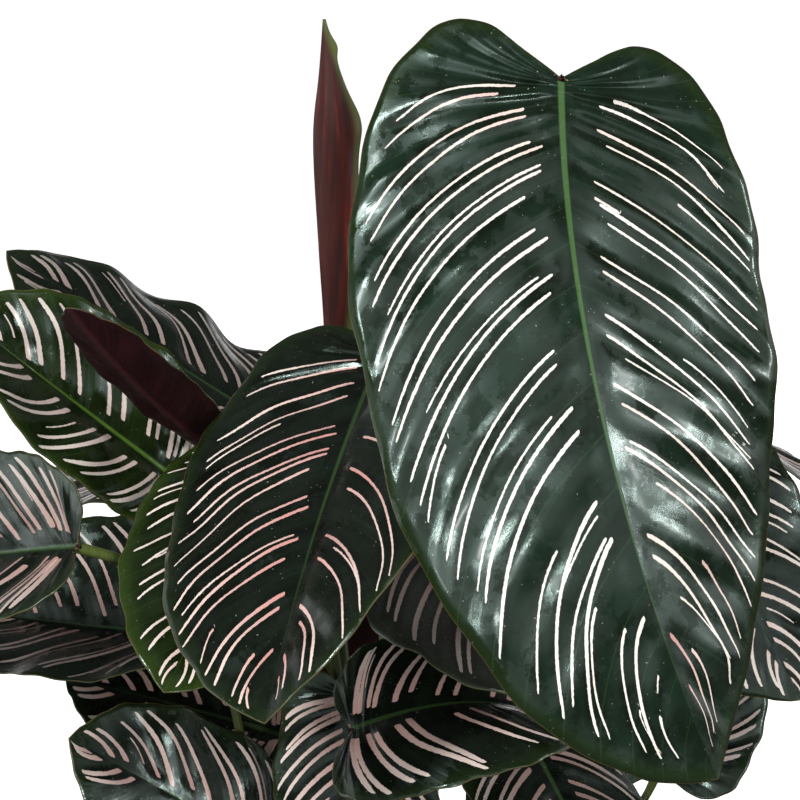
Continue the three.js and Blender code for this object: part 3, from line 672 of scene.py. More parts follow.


# Between the stripe pairs the body tone, laid in clouds, is partly the leaf's own mottling and partly
# painted sheen; beside the stripes the green stays deep, where that painted sheen is left out.
def bladeGreen(tree, look, place, fromRim, toStripe):  # deeper beside stripes, clouded, lighter at the rim
    besideStripe = addNode(tree, "ShaderNodeMapRange", {"interpolation_type": "SMOOTHSTEP"}, {
        "Value": toStripe, "From Min": 4.5, "From Max": 1, "To Min": 0, "To Max": 1})
    clouds = addNode(tree, "ShaderNodeTexNoise", inputs={
        "Vector": place["Object"], "Scale": 0.06 / mm, "Detail": 4, "Roughness": 0.6})
    shade = addNode(tree, "ShaderNodeMath", {"operation": "MULTIPLY_ADD", "use_clamp": True}, {
        0: clouds.outputs["Fac"], 1: 1.6, 2: -0.3})
    lighter = addNode(tree, "ShaderNodeMath", {"operation": "MULTIPLY_ADD", "use_clamp": True}, {
        0: besideStripe.outputs[0], 1: -0.4, 2: shade.outputs[0]})
    green = addNode(tree, "ShaderNodeMix", {"data_type": "RGBA"}, {
        0: lighter.outputs[0], 6: colour(look["deep"]), 7: colour(look["body"])})
    return layOver(tree, green.outputs[2], colour(look["rimTone"]), fromRim, 9, 0.5, 0.8)


def veined(tree, look, place, reads, green):  # paler side veins, and a midrib that fades out at the tip
    veinNumber = addNode(tree, "ShaderNodeSeparateXYZ", inputs={0: place["UV"]}).outputs["Y"]
    veinTurn = addNode(tree, "ShaderNodeMath", {"operation": "MULTIPLY"}, {
        0: veinNumber, 1: leafLooks["veins"]})
    offVein = addNode(tree, "ShaderNodeMath", {"operation": "PINGPONG"}, {0: veinTurn.outputs[0], 1: 0.5})
    green = layOver(tree, green, colour(look["rib"]), offVein.outputs[0], 0.03, 0.008, 0.14)
    ribWidth = addNode(tree, "ShaderNodeMapRange", inputs={
        "Value": reads["along"], "From Min": 0, "From Max": 0.95, "To Min": 1.5, "To Max": 0.3})
    ribEdge = addNode(tree, "ShaderNodeMath", {"operation": "SUBTRACT"}, {
        0: ribWidth.outputs[0], 1: reads["fromRib"]})
    ribFade = addNode(tree, "ShaderNodeMapRange", inputs={
        "Value": reads["along"], "From Min": 0.35, "From Max": 0.95, "To Min": 1, "To Max": 0.25})
    return layOver(tree, green, colour(look["rib"]), ribEdge.outputs[0], 0, 0.7, ribFade.outputs[0])


def flecked(tree, place, reads, green):  # dry brown flecks round the notch
    flecks = addNode(tree, "ShaderNodeTexNoise", inputs={
        "Vector": place["Object"], "Scale": 0.75 / mm, "Detail": 1})
    atNotch = addNode(tree, "ShaderNodeMath", {"operation": "MULTIPLY_ADD", "use_clamp": True}, {
        0: reads["along"], 1: -16, 2: 0.8})
    farOut = addNode(tree, "ShaderNodeMath", {"operation": "MULTIPLY"}, {0: reads["fromRib"], 1: 0.06})
    fleckRoom = addNode(tree, "ShaderNodeMath", {"operation": "SUBTRACT", "use_clamp": True}, {
        0: atNotch.outputs[0], 1: farOut.outputs[0]})
    fleckHeight = addNode(tree, "ShaderNodeMath", {"operation": "MULTIPLY"}, {
        0: flecks.outputs["Fac"], 1: fleckRoom.outputs[0]})
    return layOver(tree, green, colour(leafLooks["fleck"]), fleckHeight.outputs[0], 0.42, 0.46, 0.85)


def painted(tree, place, reads, stripes, green):  # the stripes' paint, sparse pale specks, the thin dry rim
    # What is left of the stripes' paint: dimmed towards the green as painted shade on leaves lying in shade,
    # and none left on the rolled leaf.
    stripeShown = addNode(tree, "ShaderNodeMath", {"operation": "SUBTRACT"}, {0: 1, 1: reads["stripeShadeOrGone"]})
    for mask, _, blush in stripes:
        paint = addNode(tree, "ShaderNodeMix", {"data_type": "RGBA"}, {
            0: blush, 6: colour(leafLooks["stripe"]), 7: colour(leafLooks["stripePink"])})
        coat = addNode(tree, "ShaderNodeMath", {"operation": "MULTIPLY"}, {0: mask, 1: stripeShown.outputs[0]})
        green = addNode(tree, "ShaderNodeMix", {"data_type": "RGBA"}, {
            0: coat.outputs[0], 6: green, 7: paint.outputs[2]}).outputs[2]
    dust = addNode(tree, "ShaderNodeTexNoise", inputs={
        "Vector": place["Object"], "Scale": 1.3 / mm, "Detail": 0})
    dusty = layOver(tree, green, colour(leafLooks["speck"]), dust.outputs["Fac"], 0.83, 0.89, 0.5)
    return layOver(tree, dusty, colour(leafLooks["margin"]), reads["fromRim"], 0.5, 0.1, 0.5, "LINEAR")


def cuticleRelief(tree, place):  # creases and fine veins along the side veins, then the cuticle's grain
    veinNumber = addNode(tree, "ShaderNodeSeparateXYZ", inputs={0: place["UV"]}).outputs["Y"]
    alongCrease = addNode(tree, "ShaderNodeMapping", inputs={"Vector": place["UV"], "Scale": (1.6, 26, 1)})
    creases = addNode(tree, "ShaderNodeTexNoise", inputs={
        "Vector": alongCrease.outputs[0], "Scale": 1, "Detail": 1, "Roughness": 0.4})
    awayFromNotch = addNode(tree, "ShaderNodeMapRange", {"interpolation_type": "SMOOTHSTEP"}, {
        "Value": veinNumber, "From Min": 0.1, "From Max": 0.35, "To Min": 0, "To Max": 1})
    creaseHeight = addNode(tree, "ShaderNodeMath", {"operation": "MULTIPLY"}, {
        0: creases.outputs["Fac"], 1: awayFromNotch.outputs[0]})
    creaseBump = addNode(tree, "ShaderNodeBump", inputs={
        "Height": creaseHeight.outputs[0], "Strength": 0.45, "Distance": 2.2 * mm})
    alongVein = addNode(tree, "ShaderNodeMapping", inputs={"Vector": place["UV"], "Scale": (3, 170, 1)})
    veins = addNode(tree, "ShaderNodeTexNoise", inputs={
        "Vector": alongVein.outputs[0], "Scale": 1, "Detail": 3, "Roughness": 0.55})
    grain = addNode(tree, "ShaderNodeTexVoronoi", inputs={
        "Vector": place["Object"], "Scale": 1 / (leafLooks["cell"] * mm)})
    veinBump = addNode(tree, "ShaderNodeBump", inputs={
        "Height": veins.outputs["Fac"], "Strength": 0.35, "Distance": 0.16 * mm,
        "Normal": creaseBump.outputs[0]})
    return addNode(tree, "ShaderNodeBump", inputs={
        "Height": grain.outputs["Distance"], "Strength": 0.35, "Distance": 0.06 * mm,
        "Normal": veinBump.outputs[0]}).outputs[0]


# Calathea leaf: dark green with painted stripes, under a hard wax cuticle that mirrors lights softly.
def makeLeafMaterial(name, look):
    material, tree, place = newMaterial(name)
    reads = {
        key: addNode(tree, "ShaderNodeAttribute", {"attribute_name": key}).outputs["Fac"]
        for key in ("share", "fromRib", "fromRim", "along", "stripeShadeOrGone")
    }
    torn = addNode(tree, "ShaderNodeTexNoise", inputs={
        "Vector": place["Object"], "Scale": 0.8 / mm, "Detail": 2, "Roughness": 0.6})
    wobble = addNode(tree, "ShaderNodeMath", {"operation": "MULTIPLY_ADD"}, {
        0: torn.outputs["Fac"], 1: 0.6, 2: -0.3})
    stripes = [stripeMask(tree, turn, reads["share"], wobble.outputs[0]) for turn in "ABC"]
    nearer = addNode(tree, "ShaderNodeMath", {"operation": "MINIMUM"}, {0: stripes[0][1], 1: stripes[1][1]})
    nearest = addNode(tree, "ShaderNodeMath", {"operation": "MINIMUM"}, {
        0: nearer.outputs[0], 1: stripes[2][1]})

    green = bladeGreen(tree, look, place, reads["fromRim"], nearest.outputs[0])
    green = veined(tree, look, place, reads, green)
    green = flecked(tree, place, reads, green)
    skin = painted(tree, place, reads, stripes, green)
    smudges = addNode(tree, "ShaderNodeTexNoise", inputs={
        "Vector": place["Object"], "Scale": 0.11 / mm, "Detail": 5, "Roughness": 0.65})
    low, high = leafLooks["roughness"]
    roughness = addNode(tree, "ShaderNodeMapRange", {"interpolation_type": "SMOOTHSTEP"}, {
        "Value": smudges.outputs["Fac"], "From Min": 0.44, "From Max": 0.56, "To Min": low, "To Max": high})
    shader = addNode(tree, "ShaderNodeBsdfPrincipled", inputs={
        "Base Color": skin, "Roughness": roughness.outputs[0], "IOR": 1.45,
        "Specular Tint": colour(leafLooks["sheen"]), "Coat Weight": 0.12, "Coat Roughness": 0.14,
        "Normal": cuticleRelief(tree, place)})
    addNode(tree, "ShaderNodeOutputMaterial", inputs={"Surface": shader.outputs[0]})
    return material


undersideLooks = {"wine": "#300e14", "plum": "#1c080c", "rib": "#3f1e20"}
marginLooks = {"olive": "#3a4526", "straw": "#564d2c"}


def makeUndersideMaterial():  # Calathea leaf, underside: soft wine-red skin with raised veins, almost matte
    material, tree, place = newMaterial("leafUndersideSatin")
    fromRib = addNode(tree, "ShaderNodeAttribute", {"attribute_name": "fromRib"}).outputs["Fac"]
    alongVein = addNode(tree, "ShaderNodeMapping", inputs={"Vector": place["UV"], "Scale": (2, 120, 1)})
    veins = addNode(tree, "ShaderNodeTexNoise", inputs={
        "Vector": alongVein.outputs[0], "Scale": 1, "Detail": 3, "Roughness": 0.6})
    plum, wine, rib = (colour(undersideLooks[key]) for key in ("plum", "wine", "rib"))
    base = layOver(tree, plum, wine, veins.outputs["Fac"], 0.3, 0.7, 1, "LINEAR")
    base = layOver(tree, base, rib, fromRib, 1.8, 0.6, 0.8)
    bump = addNode(tree, "ShaderNodeBump", inputs={
        "Height": veins.outputs["Fac"], "Strength": 0.6, "Distance": 0.3 * mm})
    shader = addNode(tree, "ShaderNodeBsdfPrincipled", inputs={
        "Base Color": base, "Roughness": 0.55, "IOR": 1.38, "Specular IOR Level": 0.3,
        "Normal": bump.outputs[0]})
    addNode(tree, "ShaderNodeOutputMaterial", inputs={"Surface": shader.outputs[0]})
    return material


def makeMarginMaterial():  # the thin edge of a blade, dried up: dull straw and olive
    material, tree, place = newMaterial("leafMarginDry")
    blotches = addNode(tree, "ShaderNodeTexNoise", inputs={
        "Vector": place["Object"], "Scale": 0.09 / mm, "Detail": 3})
    olive, straw = (colour(marginLooks[key]) for key in ("olive", "straw"))
    base = layOver(tree, olive, straw, blotches.outputs["Fac"], 0.4, 0.6, 1, "LINEAR")
    shader = addNode(tree, "ShaderNodeBsdfPrincipled", inputs={
        "Base Color": base, "Roughness": 0.5, "IOR": 1.45})
    addNode(tree, "ShaderNodeOutputMaterial", inputs={"Surface": shader.outputs[0]})
    return material


leafMaterials = {
    age: makeLeafMaterial("leafCuticle" + age.capitalize(), leafLooks[age])
    for age in ("fullSheen", "mature", "young", "shade")
}
underside = makeUndersideMaterial()
margin = makeMarginMaterial()
for leafName, leafShape in leaves.items():
    makeBlade(leafName, leafShape)
print("blades made:", len(leaves))


# Stalks

stalk = {
    "footRadius": 4.9,
    "sheathTaper": 3.5,  # above 1, the sheath is narrow sooner
    "radius": 1.7,
    "jointRadius": 2.1,  # the swollen joint under the blade
    "jointLength": 14,
    "seat": 1.5,  # ahead of the notch
    "intoBlade": 1.1,  # how far the joint grows into the rib
    "foot": 155,  # height where the curve starts
    "soilTop": 152,
    "bottom": 138.4,
    "rise": 0.4,  # how high the curve climbs before it bends over, a share of its chord
    "handles": {"bottom": 3, "foot": 4, "seat": 3},
    "cuts": 26,
    "bevelSteps": 5, "curveSteps": 3,
    "reddest": 0.8,
}
upright = Vector((0, 0, 1))


def stalkRadius(share, length):
    sheath = (stalk["footRadius"] - stalk["radius"]) * (1 - share) ** stalk["sheathTaper"]
    fromBlade = (1 - share) * length
    joint = (stalk["jointRadius"] - stalk["radius"]) * max(0, 1 - fromBlade / stalk["jointLength"]) ** 0.5
    return stalk["radius"] + sheath + joint


def makeStalk(name, soilPlace, seat, arrival, reach, lean):
    foot = Vector((*soilPlace, stalk["foot"]))
    chord = seat - foot
    rise = foot + Vector((chord.x * lean, chord.y * lean, stalk["rise"] * chord.length))
    deselectAll()
    bpy.ops.curve.primitive_bezier_curve_add()
    curve = bpy.context.object
    spline = curve.data.splines[0]
    spline.bezier_points.add(1)
    bottom = Vector((foot.x, foot.y, stalk["bottom"]))
    handles = stalk["handles"]
    places = [
        (bottom, bottom - upright * handles["bottom"], bottom + upright * handles["bottom"]),
        (foot, foot - upright * handles["foot"], rise),
        (seat, seat - arrival * reach, seat + arrival * handles["seat"]),
    ]
    for point, (middle, before, after) in zip(spline.bezier_points, places):
        point.handle_left_type = point.handle_right_type = "FREE"
        point.co, point.handle_left, point.handle_right = middle * mm, before * mm, after * mm
    bpy.ops.object.mode_set(mode="EDIT")
    bpy.ops.curve.select_all(action="DESELECT")
    for point in curve.data.splines[0].bezier_points[1:]:
        point.select_control_point = point.select_left_handle = point.select_right_handle = True
    bpy.ops.curve.subdivide(number_cuts=stalk["cuts"])
    bpy.ops.object.mode_set(mode="OBJECT")
    points = curve.data.splines[0].bezier_points
    for i, point in enumerate(points):
        point.radius = stalkRadius(max(i - 1, 0) / (len(points) - 2), chord.length)
    curve.data.dimensions = "3D"
    curve.data.bevel_depth = mm
    curve.data.bevel_resolution = stalk["bevelSteps"]
    curve.data.resolution_u = stalk["curveSteps"]
    curve.data.use_fill_caps = True
    bpy.ops.object.convert(target="MESH")
    piece = bpy.context.object
    mesh = piece.data
    chance = random.Random("stalk " + name)
    setAttribute(mesh, "fromBlade", [(v.co / mm - seat).length for v in mesh.vertices])
    setAttribute(mesh, "fromSoil", [v.co.z / mm - stalk["soilTop"] for v in mesh.vertices])
    setAttribute(mesh, "flush", [chance.uniform(0, stalk["reddest"])] * len(mesh.vertices))
    mesh.materials.append(stalkSkin)
    bpy.ops.object.shade_smooth()
    finish(piece, "leafStalk_" + name, "stalk", "stalk_" + name)


def makeLeafStalk(name, leaf):
    point, ahead, left, up = (Vector(row) for row in midribOf(leaf)[0])
    seat = point + ahead * stalk["seat"] - up * stalk["intoBlade"]
    arrive = math.radians(leaf["arrive"])
    arrival = up * math.sin(arrive) + ahead * math.cos(arrive)
    makeStalk(name, leaf["soil"], seat, arrival, leaf["reach"], leaf["lean"])


stalkLooks = {"green": "#3a481e", "pale": "#5d6b30", "red": "#5a2420", "sheath": "#3a2d1b"}


def makeStalkMaterial():  # leaf stalk: waxy green skin, ribbed lengthwise, flushed red, brown at the sheath
    material, tree, place = newMaterial("stalkSkinWaxy")
    reads = {
        key: addNode(tree, "ShaderNodeAttribute", {"attribute_name": key}).outputs["Fac"]
        for key in ("fromBlade", "fromSoil", "flush")
    }
    stretched = addNode(tree, "ShaderNodeMapping", inputs={"Vector": place["Object"], "Scale": (1, 1, 0.06)})
    fibres = addNode(tree, "ShaderNodeTexNoise", inputs={
        "Vector": stretched.outputs[0], "Scale": 1.1 / mm, "Detail": 3, "Roughness": 0.6})
    blotches = addNode(tree, "ShaderNodeTexNoise", inputs={
        "Vector": place["Object"], "Scale": 0.05 / mm, "Detail": 4, "Roughness": 0.6})
    flushed = addNode(tree, "ShaderNodeMath", {"operation": "MULTIPLY_ADD", "use_clamp": True}, {
        0: blotches.outputs["Fac"], 1: 2.4, 2: -1.2})
    redness = addNode(tree, "ShaderNodeMath", {"operation": "MULTIPLY"}, {
        0: flushed.outputs[0], 1: reads["flush"]})
    base = addNode(tree, "ShaderNodeMix", {"data_type": "RGBA"}, {
        0: redness.outputs[0], 6: colour(stalkLooks["green"]), 7: colour(stalkLooks["red"])})
    base = layOver(tree, base.outputs[2], colour(stalkLooks["sheath"]), reads["fromSoil"], 34, 2, 0.85)
    base = layOver(tree, base, colour(stalkLooks["pale"]), reads["fromBlade"], 15, 12, 0.8)
    streak = addNode(tree, "ShaderNodeMapRange", inputs={
        "Value": fibres.outputs["Fac"], "From Min": 0.3, "From Max": 0.7, "To Min": 0.72, "To Max": 1.15})
    toned = addNode(tree, "ShaderNodeVectorMath", {"operation": "SCALE"}, {
        0: base, "Scale": streak.outputs[0]})
    bump = addNode(tree, "ShaderNodeBump", inputs={
        "Height": fibres.outputs["Fac"], "Strength": 0.5, "Distance": 0.25 * mm})
    shader = addNode(tree, "ShaderNodeBsdfPrincipled", inputs={
        "Base Color": toned.outputs[0], "Roughness": 0.42, "IOR": 1.45, "Normal": bump.outputs[0]})
    addNode(tree, "ShaderNodeOutputMaterial", inputs={"Surface": shader.outputs[0]})
    return material


stalkSkin = makeStalkMaterial()
for leafName, leafShape in leaves.items():
    makeLeafStalk(leafName, leafShape)


# The rolled new leaf

rolled = {
    "foot": (-22.5, -2, 385), "tip": (-27.5, -4, 562), "bow": 3.5,
    "profile": [(0, 2.4), (0.12, 4.4), (0.3, 7.6), (0.48, 8.9), (0.66, 9.2), (0.74, 9), (0.8, 8),
                (0.86, 5.6), (0.92, 3.2), (1, 0.7)],  # share of the height, radius
    "overlap": 0.16,  # how much smaller the sheet is one turn in
    "turn": 1.8, "seam": -1.7,  # radians, from foot to tip and where the free margin starts
    "inner": 0.7,  # turns hidden inside
    "flares": [(0.79, 0.05, 2.6), (0.945, 0.02, 1.6)],  # where the free margin stands off: share, spread, mm
    "thickness": 0.5,
    "soil": (-23, -2),
    "stalk": {"into": 2, "reach": 80, "lean": 0.1},  # how far the stalk grows into the roll, and its curve
    "marginFrom": 0.86,  # share of the turns where the free margin starts
    "lastTurn": 0.995,
    "crumple": 0.25,
    "smoothing": (-0.03, -0.015, 0, 0.015, 0.03), "pointedFrom": 0.97,  # the profile is rounded up to here
    "inset": 0.1,
    "columns": 110, "rows": 170,
}


def makeRolledLeaf():
    deselectAll()
    bpy.ops.mesh.primitive_grid_add(
        x_subdivisions=rolled["columns"], y_subdivisions=rolled["rows"], size=1)
    piece = bpy.context.object
    mesh = piece.data
    places = np.empty(3 * len(mesh.vertices))
    mesh.vertices.foreach_get("co", places)
    around, share = places[0::3] + 0.5, np.clip(places[1::3] + 0.5, 0, 1)
    t = around * (1 + rolled["inner"]) - rolled["inner"]
    shares, radii = np.array(rolled["profile"]).T
    rounded = np.mean([np.interp(share + step, shares, radii) for step in rolled["smoothing"]], 0)
    pointed = np.interp(share, shares, radii)
    radius = np.where(share > rolled["pointedFrom"], pointed, rounded) - rolled["inset"]
    spiral = radius * (1 - rolled["overlap"] * (1 - t))
    for middle, spread, high in rolled["flares"]:
        spiral = spiral + high * np.exp(-((share - middle) / spread) ** 2) * ease(t, rolled["marginFrom"], 1)
    spiral = spiral + rolled["crumple"] * np.sin(9 * t + 14 * share) * ease(radius, 2, 6)
    turn = rolled["seam"] + rolled["turn"] * share + 2 * math.pi * rolled["lastTurn"] * t
    foot, tip = np.array(rolled["foot"]), np.array(rolled["tip"])
    middle = foot + (tip - foot) * share[:, None]
    middle[:, 0] += rolled["bow"] * np.sin(math.pi * share)
    points = middle + np.stack([spiral * np.cos(turn), spiral * np.sin(turn), np.zeros_like(turn)], 1)
    mesh.vertices.foreach_set("co", (points * mm).ravel())
    setAttribute(mesh, "fromRim", (1 - t) * 2 * math.pi * radius)
    setAttribute(mesh, "stripeShadeOrGone", np.ones_like(t))  # no stripes on the face rolled inwards
    for material in (rolledSkin, leafMaterials["mature"], margin):
        mesh.materials.append(material)
    skin = piece.modifiers.new("skin", "SOLIDIFY")
    skin.thickness = rolled["thickness"] * mm
    skin.offset = -1
    skin.material_offset = 1
    skin.material_offset_rim = 2
    applyAll(piece)
    bpy.ops.object.shade_smooth()
    finish(piece, "leafRolled", "new_leaf", "blade_rolled")


rolledLooks = {"wine": "#4c1c16", "plum": "#2c1512", "glow": "#8c3a2b", "green": "#55642f"}


def makeRolledMaterial():  # underside of a leaf still rolled up: wine-red with slanting bands, satin
    material, tree, place = newMaterial("rolledLeafSatin")
    fromRim = addNode(tree, "ShaderNodeAttribute", {"attribute_name": "fromRim"}).outputs["Fac"]
    slanted = addNode(tree, "ShaderNodeMapping", inputs={
        "Vector": place["UV"], "Rotation": (0, 0, 0.5), "Scale": (26, 5, 1)})
    bands = addNode(tree, "ShaderNodeTexNoise", inputs={
        "Vector": slanted.outputs[0], "Scale": 1, "Detail": 4, "Roughness": 0.55})
    plum, wine, glow, green = (colour(rolledLooks[key]) for key in ("plum", "wine", "glow", "green"))
    base = layOver(tree, plum, wine, bands.outputs["Fac"], 0.35, 0.62, 1, "LINEAR")
    base = layOver(tree, base, glow, bands.outputs["Fac"], 0.6, 0.75, 0.7, "LINEAR")
    base = layOver(tree, base, green, fromRim, 4, 0.5, 0.85)
    bump = addNode(tree, "ShaderNodeBump", inputs={
        "Height": bands.outputs["Fac"], "Strength": 0.6, "Distance": 0.4 * mm})
    shader = addNode(tree, "ShaderNodeBsdfPrincipled", inputs={
        "Base Color": base, "Roughness": 0.5, "IOR": 1.4, "Specular IOR Level": 0.35,
        "Normal": bump.outputs[0]})
    addNode(tree, "ShaderNodeOutputMaterial", inputs={"Surface": shader.outputs[0]})
    return material


rolledSkin = makeRolledMaterial()
makeRolledLeaf()
rolledSeat = Vector(rolled["foot"]) + upright * rolled["stalk"]["into"]
makeStalk("rolled", rolled["soil"], rolledSeat, upright, rolled["stalk"]["reach"], rolled["stalk"]["lean"])
print("stalks and new leaf made")


# The pot

pot = {
    "height": 168, "baseRadius": 70, "topRadius": 90, "wall": 1.8, "floor": 2,
    "stepHeight": 142, "step": 2.2, "rimRadius": 95, "rimHeight": 10,
    "drainHoles": 6, "drainHoleRadius": 4.5, "drainCircle": 50, "drainHoleSides": 32, "drillLength": 12,
    "sides": 128, "softEdge": 0.6,
    "bevelFrom": 28, "smoothBelow": 32,  # degrees between faces
}


def potProfile():  # radius and height, up the outside and down the inside
    taper = (pot["topRadius"] - pot["step"] - pot["baseRadius"]) / pot["stepHeight"]
    stepTop = pot["stepHeight"] + 1.5 * pot["step"]
    rimBottom = pot["height"] - pot["rimHeight"]
    inside = pot["topRadius"] - pot["wall"]

    def outer(z):
        return pot["baseRadius"] + taper * z

    return [
        (pot["baseRadius"] - 2, 0),
        (outer(1.5), 1.5),
        (outer(pot["stepHeight"]), pot["stepHeight"]),
        (outer(stepTop) + pot["step"], stepTop),
        (pot["topRadius"], rimBottom),
        (pot["rimRadius"] - 1, rimBottom),
        (pot["rimRadius"], rimBottom + 1.5),
        (pot["rimRadius"], pot["height"] - 2),
        (pot["rimRadius"] - 1.5, pot["height"]),
        (pot["topRadius"] - 0.5, pot["height"]),
        (inside, pot["height"] - 2),
        (inside, rimBottom),
        (outer(stepTop) - pot["wall"] + pot["step"], stepTop + 0.6),
        (outer(pot["stepHeight"]) - pot["wall"], pot["stepHeight"] + 0.6),
        (outer(pot["floor"]) - pot["wall"], pot["floor"]),
    ]


def makePot():
    profile = potProfile()
    radius, height = profile[0]
    deselectAll()
    bpy.ops.mesh.primitive_circle_add(vertices=pot["sides"], radius=radius * mm, fill_type="NGON")
    piece = bpy.context.object
    bpy.ops.object.mode_set(mode="EDIT")
    bpy.ops.mesh.select_all(action="SELECT")
    for nextRadius, nextHeight in profile[1:]:
        rise = (0, 0, (nextHeight - height) * mm)
        bpy.ops.mesh.extrude_region_move(TRANSFORM_OT_translate={"value": rise})
        wider = nextRadius / radius
        bpy.ops.transform.resize(value=(wider, wider, 1), center_override=(0, 0, 0))
        radius, height = nextRadius, nextHeight
    bpy.ops.mesh.select_all(action="SELECT")
    bpy.ops.mesh.normals_make_consistent(inside=False)
    bpy.ops.object.mode_set(mode="OBJECT")

    soft = piece.modifiers.new("soft edges", "BEVEL")
    soft.width = pot["softEdge"] * mm
    soft.segments = 3
    soft.limit_method = "ANGLE"
    soft.angle_limit = math.radians(pot["bevelFrom"])
    applyAll(piece)
    drills = []
    for i in range(pot["drainHoles"]):
        turn = 2 * math.pi * i / pot["drainHoles"]
        place = (pot["drainCircle"] * math.cos(turn) * mm, pot["drainCircle"] * math.sin(turn) * mm, 0)
        deselectAll()
        bpy.ops.mesh.primitive_cylinder_add(
            vertices=pot["drainHoleSides"], radius=pot["drainHoleRadius"] * mm,
            depth=pot["drillLength"] * mm, location=place)
        drills.append(bpy.context.object)
        cut = piece.modifiers.new("drain", "BOOLEAN")
        cut.object = drills[-1]
    applyAll(piece)
    for drill in drills:
        bpy.data.objects.remove(drill)
    piece.data.materials.append(makePotMaterial())
    select(piece)
    bpy.ops.object.shade_smooth_by_angle(angle=math.radians(pot["smoothBelow"]))
    finish(piece, "nurseryPot", "pot", "pot")


potLooks = {"plastic": "#2a2c2e", "worn": "#43474a", "dust": "#8d8678"}


def makePotMaterial():  # polypropylene, injection-moulded: charcoal, faint flow lines, scuffs and dust
    material, tree, place = newMaterial("polypropyleneMoulded")
    flowing = addNode(tree, "ShaderNodeMapping", inputs={"Vector": place["Object"], "Scale": (1, 1, 0.12)})
    flow = addNode(tree, "ShaderNodeTexNoise", inputs={
        "Vector": flowing.outputs[0], "Scale": 0.09 / mm, "Detail": 4})
    plastic, worn, dust = (colour(potLooks[key]) for key in ("plastic", "worn", "dust"))
    base = layOver(tree, plastic, worn, flow.outputs["Fac"], 0.4, 0.7, 0.5, "LINEAR")
    settled = addNode(tree, "ShaderNodeTexNoise", inputs={
        "Vector": place["Object"], "Scale": 0.035 / mm, "Detail": 6, "Roughness": 0.7})
    base = layOver(tree, base, dust, settled.outputs["Fac"], 0.55, 0.8, 0.35)
    grain = addNode(tree, "ShaderNodeTexNoise", inputs={
        "Vector": place["Object"], "Scale": 1.6 / mm, "Detail": 2})
    bump = addNode(tree, "ShaderNodeBump", inputs={
        "Height": grain.outputs["Fac"], "Strength": 0.25, "Distance": 0.1 * mm})
    roughness = addNode(tree, "ShaderNodeMapRange", inputs={
        "Value": settled.outputs["Fac"], "From Min": 0.3, "From Max": 0.7, "To Min": 0.38, "To Max": 0.6})
    shader = addNode(tree, "ShaderNodeBsdfPrincipled", inputs={
        "Base Color": base, "Roughness": roughness.outputs[0], "IOR": 1.49, "Normal": bump.outputs[0]})
    addNode(tree, "ShaderNodeOutputMaterial", inputs={"Surface": shader.outputs[0]})
    return material


makePot()
print("pot made")


# Potting soil

soil = {
    "top": 152, "unevenness": 1.6, "swell": (17, 13), "radius": 87.4, "depth": 5.5,
    "roughness": 1.5, "lumps": 6, "grains": 1.9,  # height of the crumbs, and their sizes
    "cells": 190,
    "edgeWidth": 5, "edgeRise": 0.8,  # the bed climbs a little to the pot's wall
    "clearOfStalk": 6.5, "clearOfWall": 3,  # for bark and perlite
    "bark": {"count": 330, "size": 3.4, "flatness": 0.45, "seed": 3},
    "perlite": {"count": 110, "size": 1.7, "flatness": 0.8, "seed": 11},
    "lumpiness": 0.35,
    "over": 0.35,  # how far a crumb's middle lies over the bed, a share of its half height
}


def soilHeight(x, y):
    swellX, swellY = soil["swell"]
    return soil["top"] + soil["unevenness"] * (math.sin(x / swellX + 1) * math.cos(y / swellY) - 0.3)


def makeSoilBed():
    deselectAll()
    bpy.ops.mesh.primitive_grid_add(x_subdivisions=soil["cells"], y_subdivisions=soil["cells"], size=2)
    piece = bpy.context.object
    for vertex in piece.data.vertices:  # the square bed is pressed round, then made uneven
        u, v = vertex.co.x, vertex.co.y
        x, y = (soil["radius"] * a * math.sqrt(1 - b * b / 2) for a, b in ((u, v), (v, u)))
        coarse = noise.noise(Vector((x / soil["lumps"], y / soil["lumps"], 2)))
        fine = noise.noise(Vector((x / soil["grains"], y / soil["grains"], 7)))
        lift = soil["roughness"] * (coarse + 0.55 * fine)
        edge = min(1, (soil["radius"] - math.hypot(x, y)) / soil["edgeWidth"])
        climb = soil["edgeRise"] * (1 - edge)
        vertex.co = Vector((x, y, soilHeight(x, y) + lift + climb)) * mm
    bed = piece.modifiers.new("bed", "SOLIDIFY")
    bed.thickness = soil["depth"] * mm
    bed.offset = -1
    applyAll(piece)
    piece.data.materials.append(peat)
    bpy.ops.object.shade_smooth()
    finish(piece, "soilBed", "soil", "soil")


